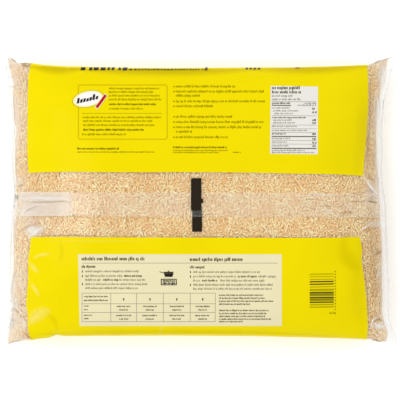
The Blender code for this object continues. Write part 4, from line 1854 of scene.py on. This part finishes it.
def brush_sheets():
    """The loose leaning strokes on the disc."""
    sheets = []
    for number, height in enumerate(BRUSH_HEIGHTS):
        x = BRUSH_FOOT[0] + BRUSH_STEP[0] * number
        y = BRUSH_FOOT[1] + BRUSH_STEP[1] * number
        left, right = x + BRUSH_LEAN, x + BRUSH_LEAN + BRUSH_WIDTH
        top, rise = y - height, BRUSH_RISE
        sheets.append(
            quad_sheet(((left, top), (right, top - rise), (x + BRUSH_WIDTH, y), (x, y + rise)))
        )
    return sheets


class RICEBAG_OT_marks(bpy.types.Operator):
    """Make the sorting mark, the pan sign, the motif on the disc and the blocks at the fold"""

    bl_idname = "ricebag.marks"
    bl_label = "Marks"

    def execute(self, context):
        rng = np.random.default_rng(3)
        low, *high = [block_sheet(*part) for part in (LOWER_MARK, *UPPER_MARK)]
        lay("lower_mark", [low], ink("black"), LOWER_MARK_LIFT)
        lay("upper_mark", high, ink("black"), UPPER_MARK_LIFT)
        motif = [block_sheet(*PAN_RIM), quad_sheet(PAN_BODY), block_sheet(*PAN_KNOB)]
        motif += [rule_sheet(*rule) for rule in (PAN_HANDLE, *SIGN_FRAME)]
        motif += brush_sheets()
        motif += [s for line in SIGN_WORDS for s in word_sheets(line, rng)]
        lay("motif", motif, ink("black"), 4 * LIFT)
        lay("bar_field", [rule_sheet(*BAR_FIELD)], ink("bright"), 4 * LIFT)
        red = [rule_sheet(*RED_BAR), block_sheet(*RED_CHIP)]
        lay("red_bar", red, ink("red"), 5 * LIFT)
        lay("fold_blocks", fold_block_sheets(rng), ink("black"), 4 * LIFT)
        left, right, tall = STRIPE_FIGURES
        small = [block_sheet(left, y, right, y + tall) for y in np.arange(*STRIPE_ROWS)]
        small += word_sheets(STRIPE_WORD, rng)
        lay("stripe_figures", small, ink("moss"))
        return {"FINISHED"}


# The soft lights: where each stands, its size, and its share of the key light's power. They look at
# a point inside the bag.
LIGHTS = (("key", (-1.45, 0.12, 2.15), 1.8, 1.0), ("fill", (0.9, 0.9, 1.5), 1.6, 0.15))
LIT_POINT = (0, 0, 0.05)

# The floor's size, and how far it lies below the bag
FLOOR_SIZE = 6.0
FLOOR_DROP = 0.0002


def add_light(name, place, size, power):
    """A large soft light that looks at the bag."""
    aim = (Vector(LIT_POINT) - Vector(place)).to_track_quat("-Z", "Y").to_euler()
    bpy.ops.object.light_add(type="AREA", location=place, rotation=aim)
    light = bpy.context.object
    light.name = name
    light.data.size = size
    light.data.energy = power


class RICEBAG_OT_stage(bpy.types.Operator):
    """Make the floor, the lights and the camera"""

    bl_idname = "ricebag.stage"
    bl_label = "Stage"

    def execute(self, context):
        stage = settings()[2]
        bpy.ops.object.select_all(action="DESELECT")
        bpy.ops.mesh.primitive_plane_add(size=FLOOR_SIZE, location=(0, 0, 0))
        floor = context.object
        floor.name = "floor"
        floor.location.z = -FLOOR_DROP
        material = bpy.data.materials.new("floor")
        material.use_nodes = True
        shader = material.node_tree.nodes["Principled BSDF"]
        shader.inputs["Base Color"].default_value = (*stage.floor, 1)
        shader.inputs["Roughness"].default_value = 0.9
        shader.inputs["Emission Color"].default_value = (1, 1, 1, 1)
        shader.inputs["Emission Strength"].default_value = stage.glow
        floor.data.materials.append(material)
        world = bpy.data.worlds.new("soft light")
        world.use_nodes = True
        world.node_tree.nodes["Background"].inputs["Color"].default_value = (1, 1, 1, 1)
        world.node_tree.nodes["Background"].inputs["Strength"].default_value = stage.ambient
        context.scene.world = world
        for name, place, size, share in LIGHTS:
            add_light(name, place, size, stage.key * share)
        bpy.ops.object.camera_add(location=camera_place(), rotation=(0, 0, 0))
        camera = context.object
        camera.data.lens = stage.lens
        camera.data.sensor_width = SENSOR * 1000
        context.scene.camera = camera
        context.scene.view_settings.view_transform = "Standard"
        return {"FINISHED"}


class RICEBAG_PT_panel(bpy.types.Panel):
    """The steps that make the bag"""

    bl_idname = "RICEBAG_PT_panel"
    bl_label = "Rice bag"
    bl_space_type = "VIEW_3D"
    bl_region_type = "UI"
    bl_category = "Rice bag"

    def draw(self, context):
        for step in STEPS:
            self.layout.operator(step.bl_idname)
        for group in settings():
            for name in group.__annotations__:
                self.layout.prop(group, name)


STEPS = (
    RICEBAG_OT_core,
    RICEBAG_OT_film,
    RICEBAG_OT_seam,
    RICEBAG_OT_strokes,
    RICEBAG_OT_panels,
    RICEBAG_OT_words,
    RICEBAG_OT_rules,
    RICEBAG_OT_marks,
    RICEBAG_OT_stage,
)
SETTINGS = {
    "rice_bag_film": FilmSettings,
    "rice_bag_rice": RiceSettings,
    "rice_bag_stage": StageSettings,
}


def register():
    for item in (*SETTINGS.values(), *STEPS, RICEBAG_PT_panel):
        bpy.utils.register_class(item)
    for name, item in SETTINGS.items():
        setattr(bpy.types.Scene, name, bpy.props.PointerProperty(type=item))


def unregister():
    for name in SETTINGS:
        delattr(bpy.types.Scene, name)
    for item in (RICEBAG_PT_panel, *STEPS, *SETTINGS.values()):
        bpy.utils.unregister_class(item)


def main():
    register()
    for step in STEPS:
        group, name = step.bl_idname.split(".")
        getattr(getattr(bpy.ops, group), name)()


if __name__ == "__main__":
    main()
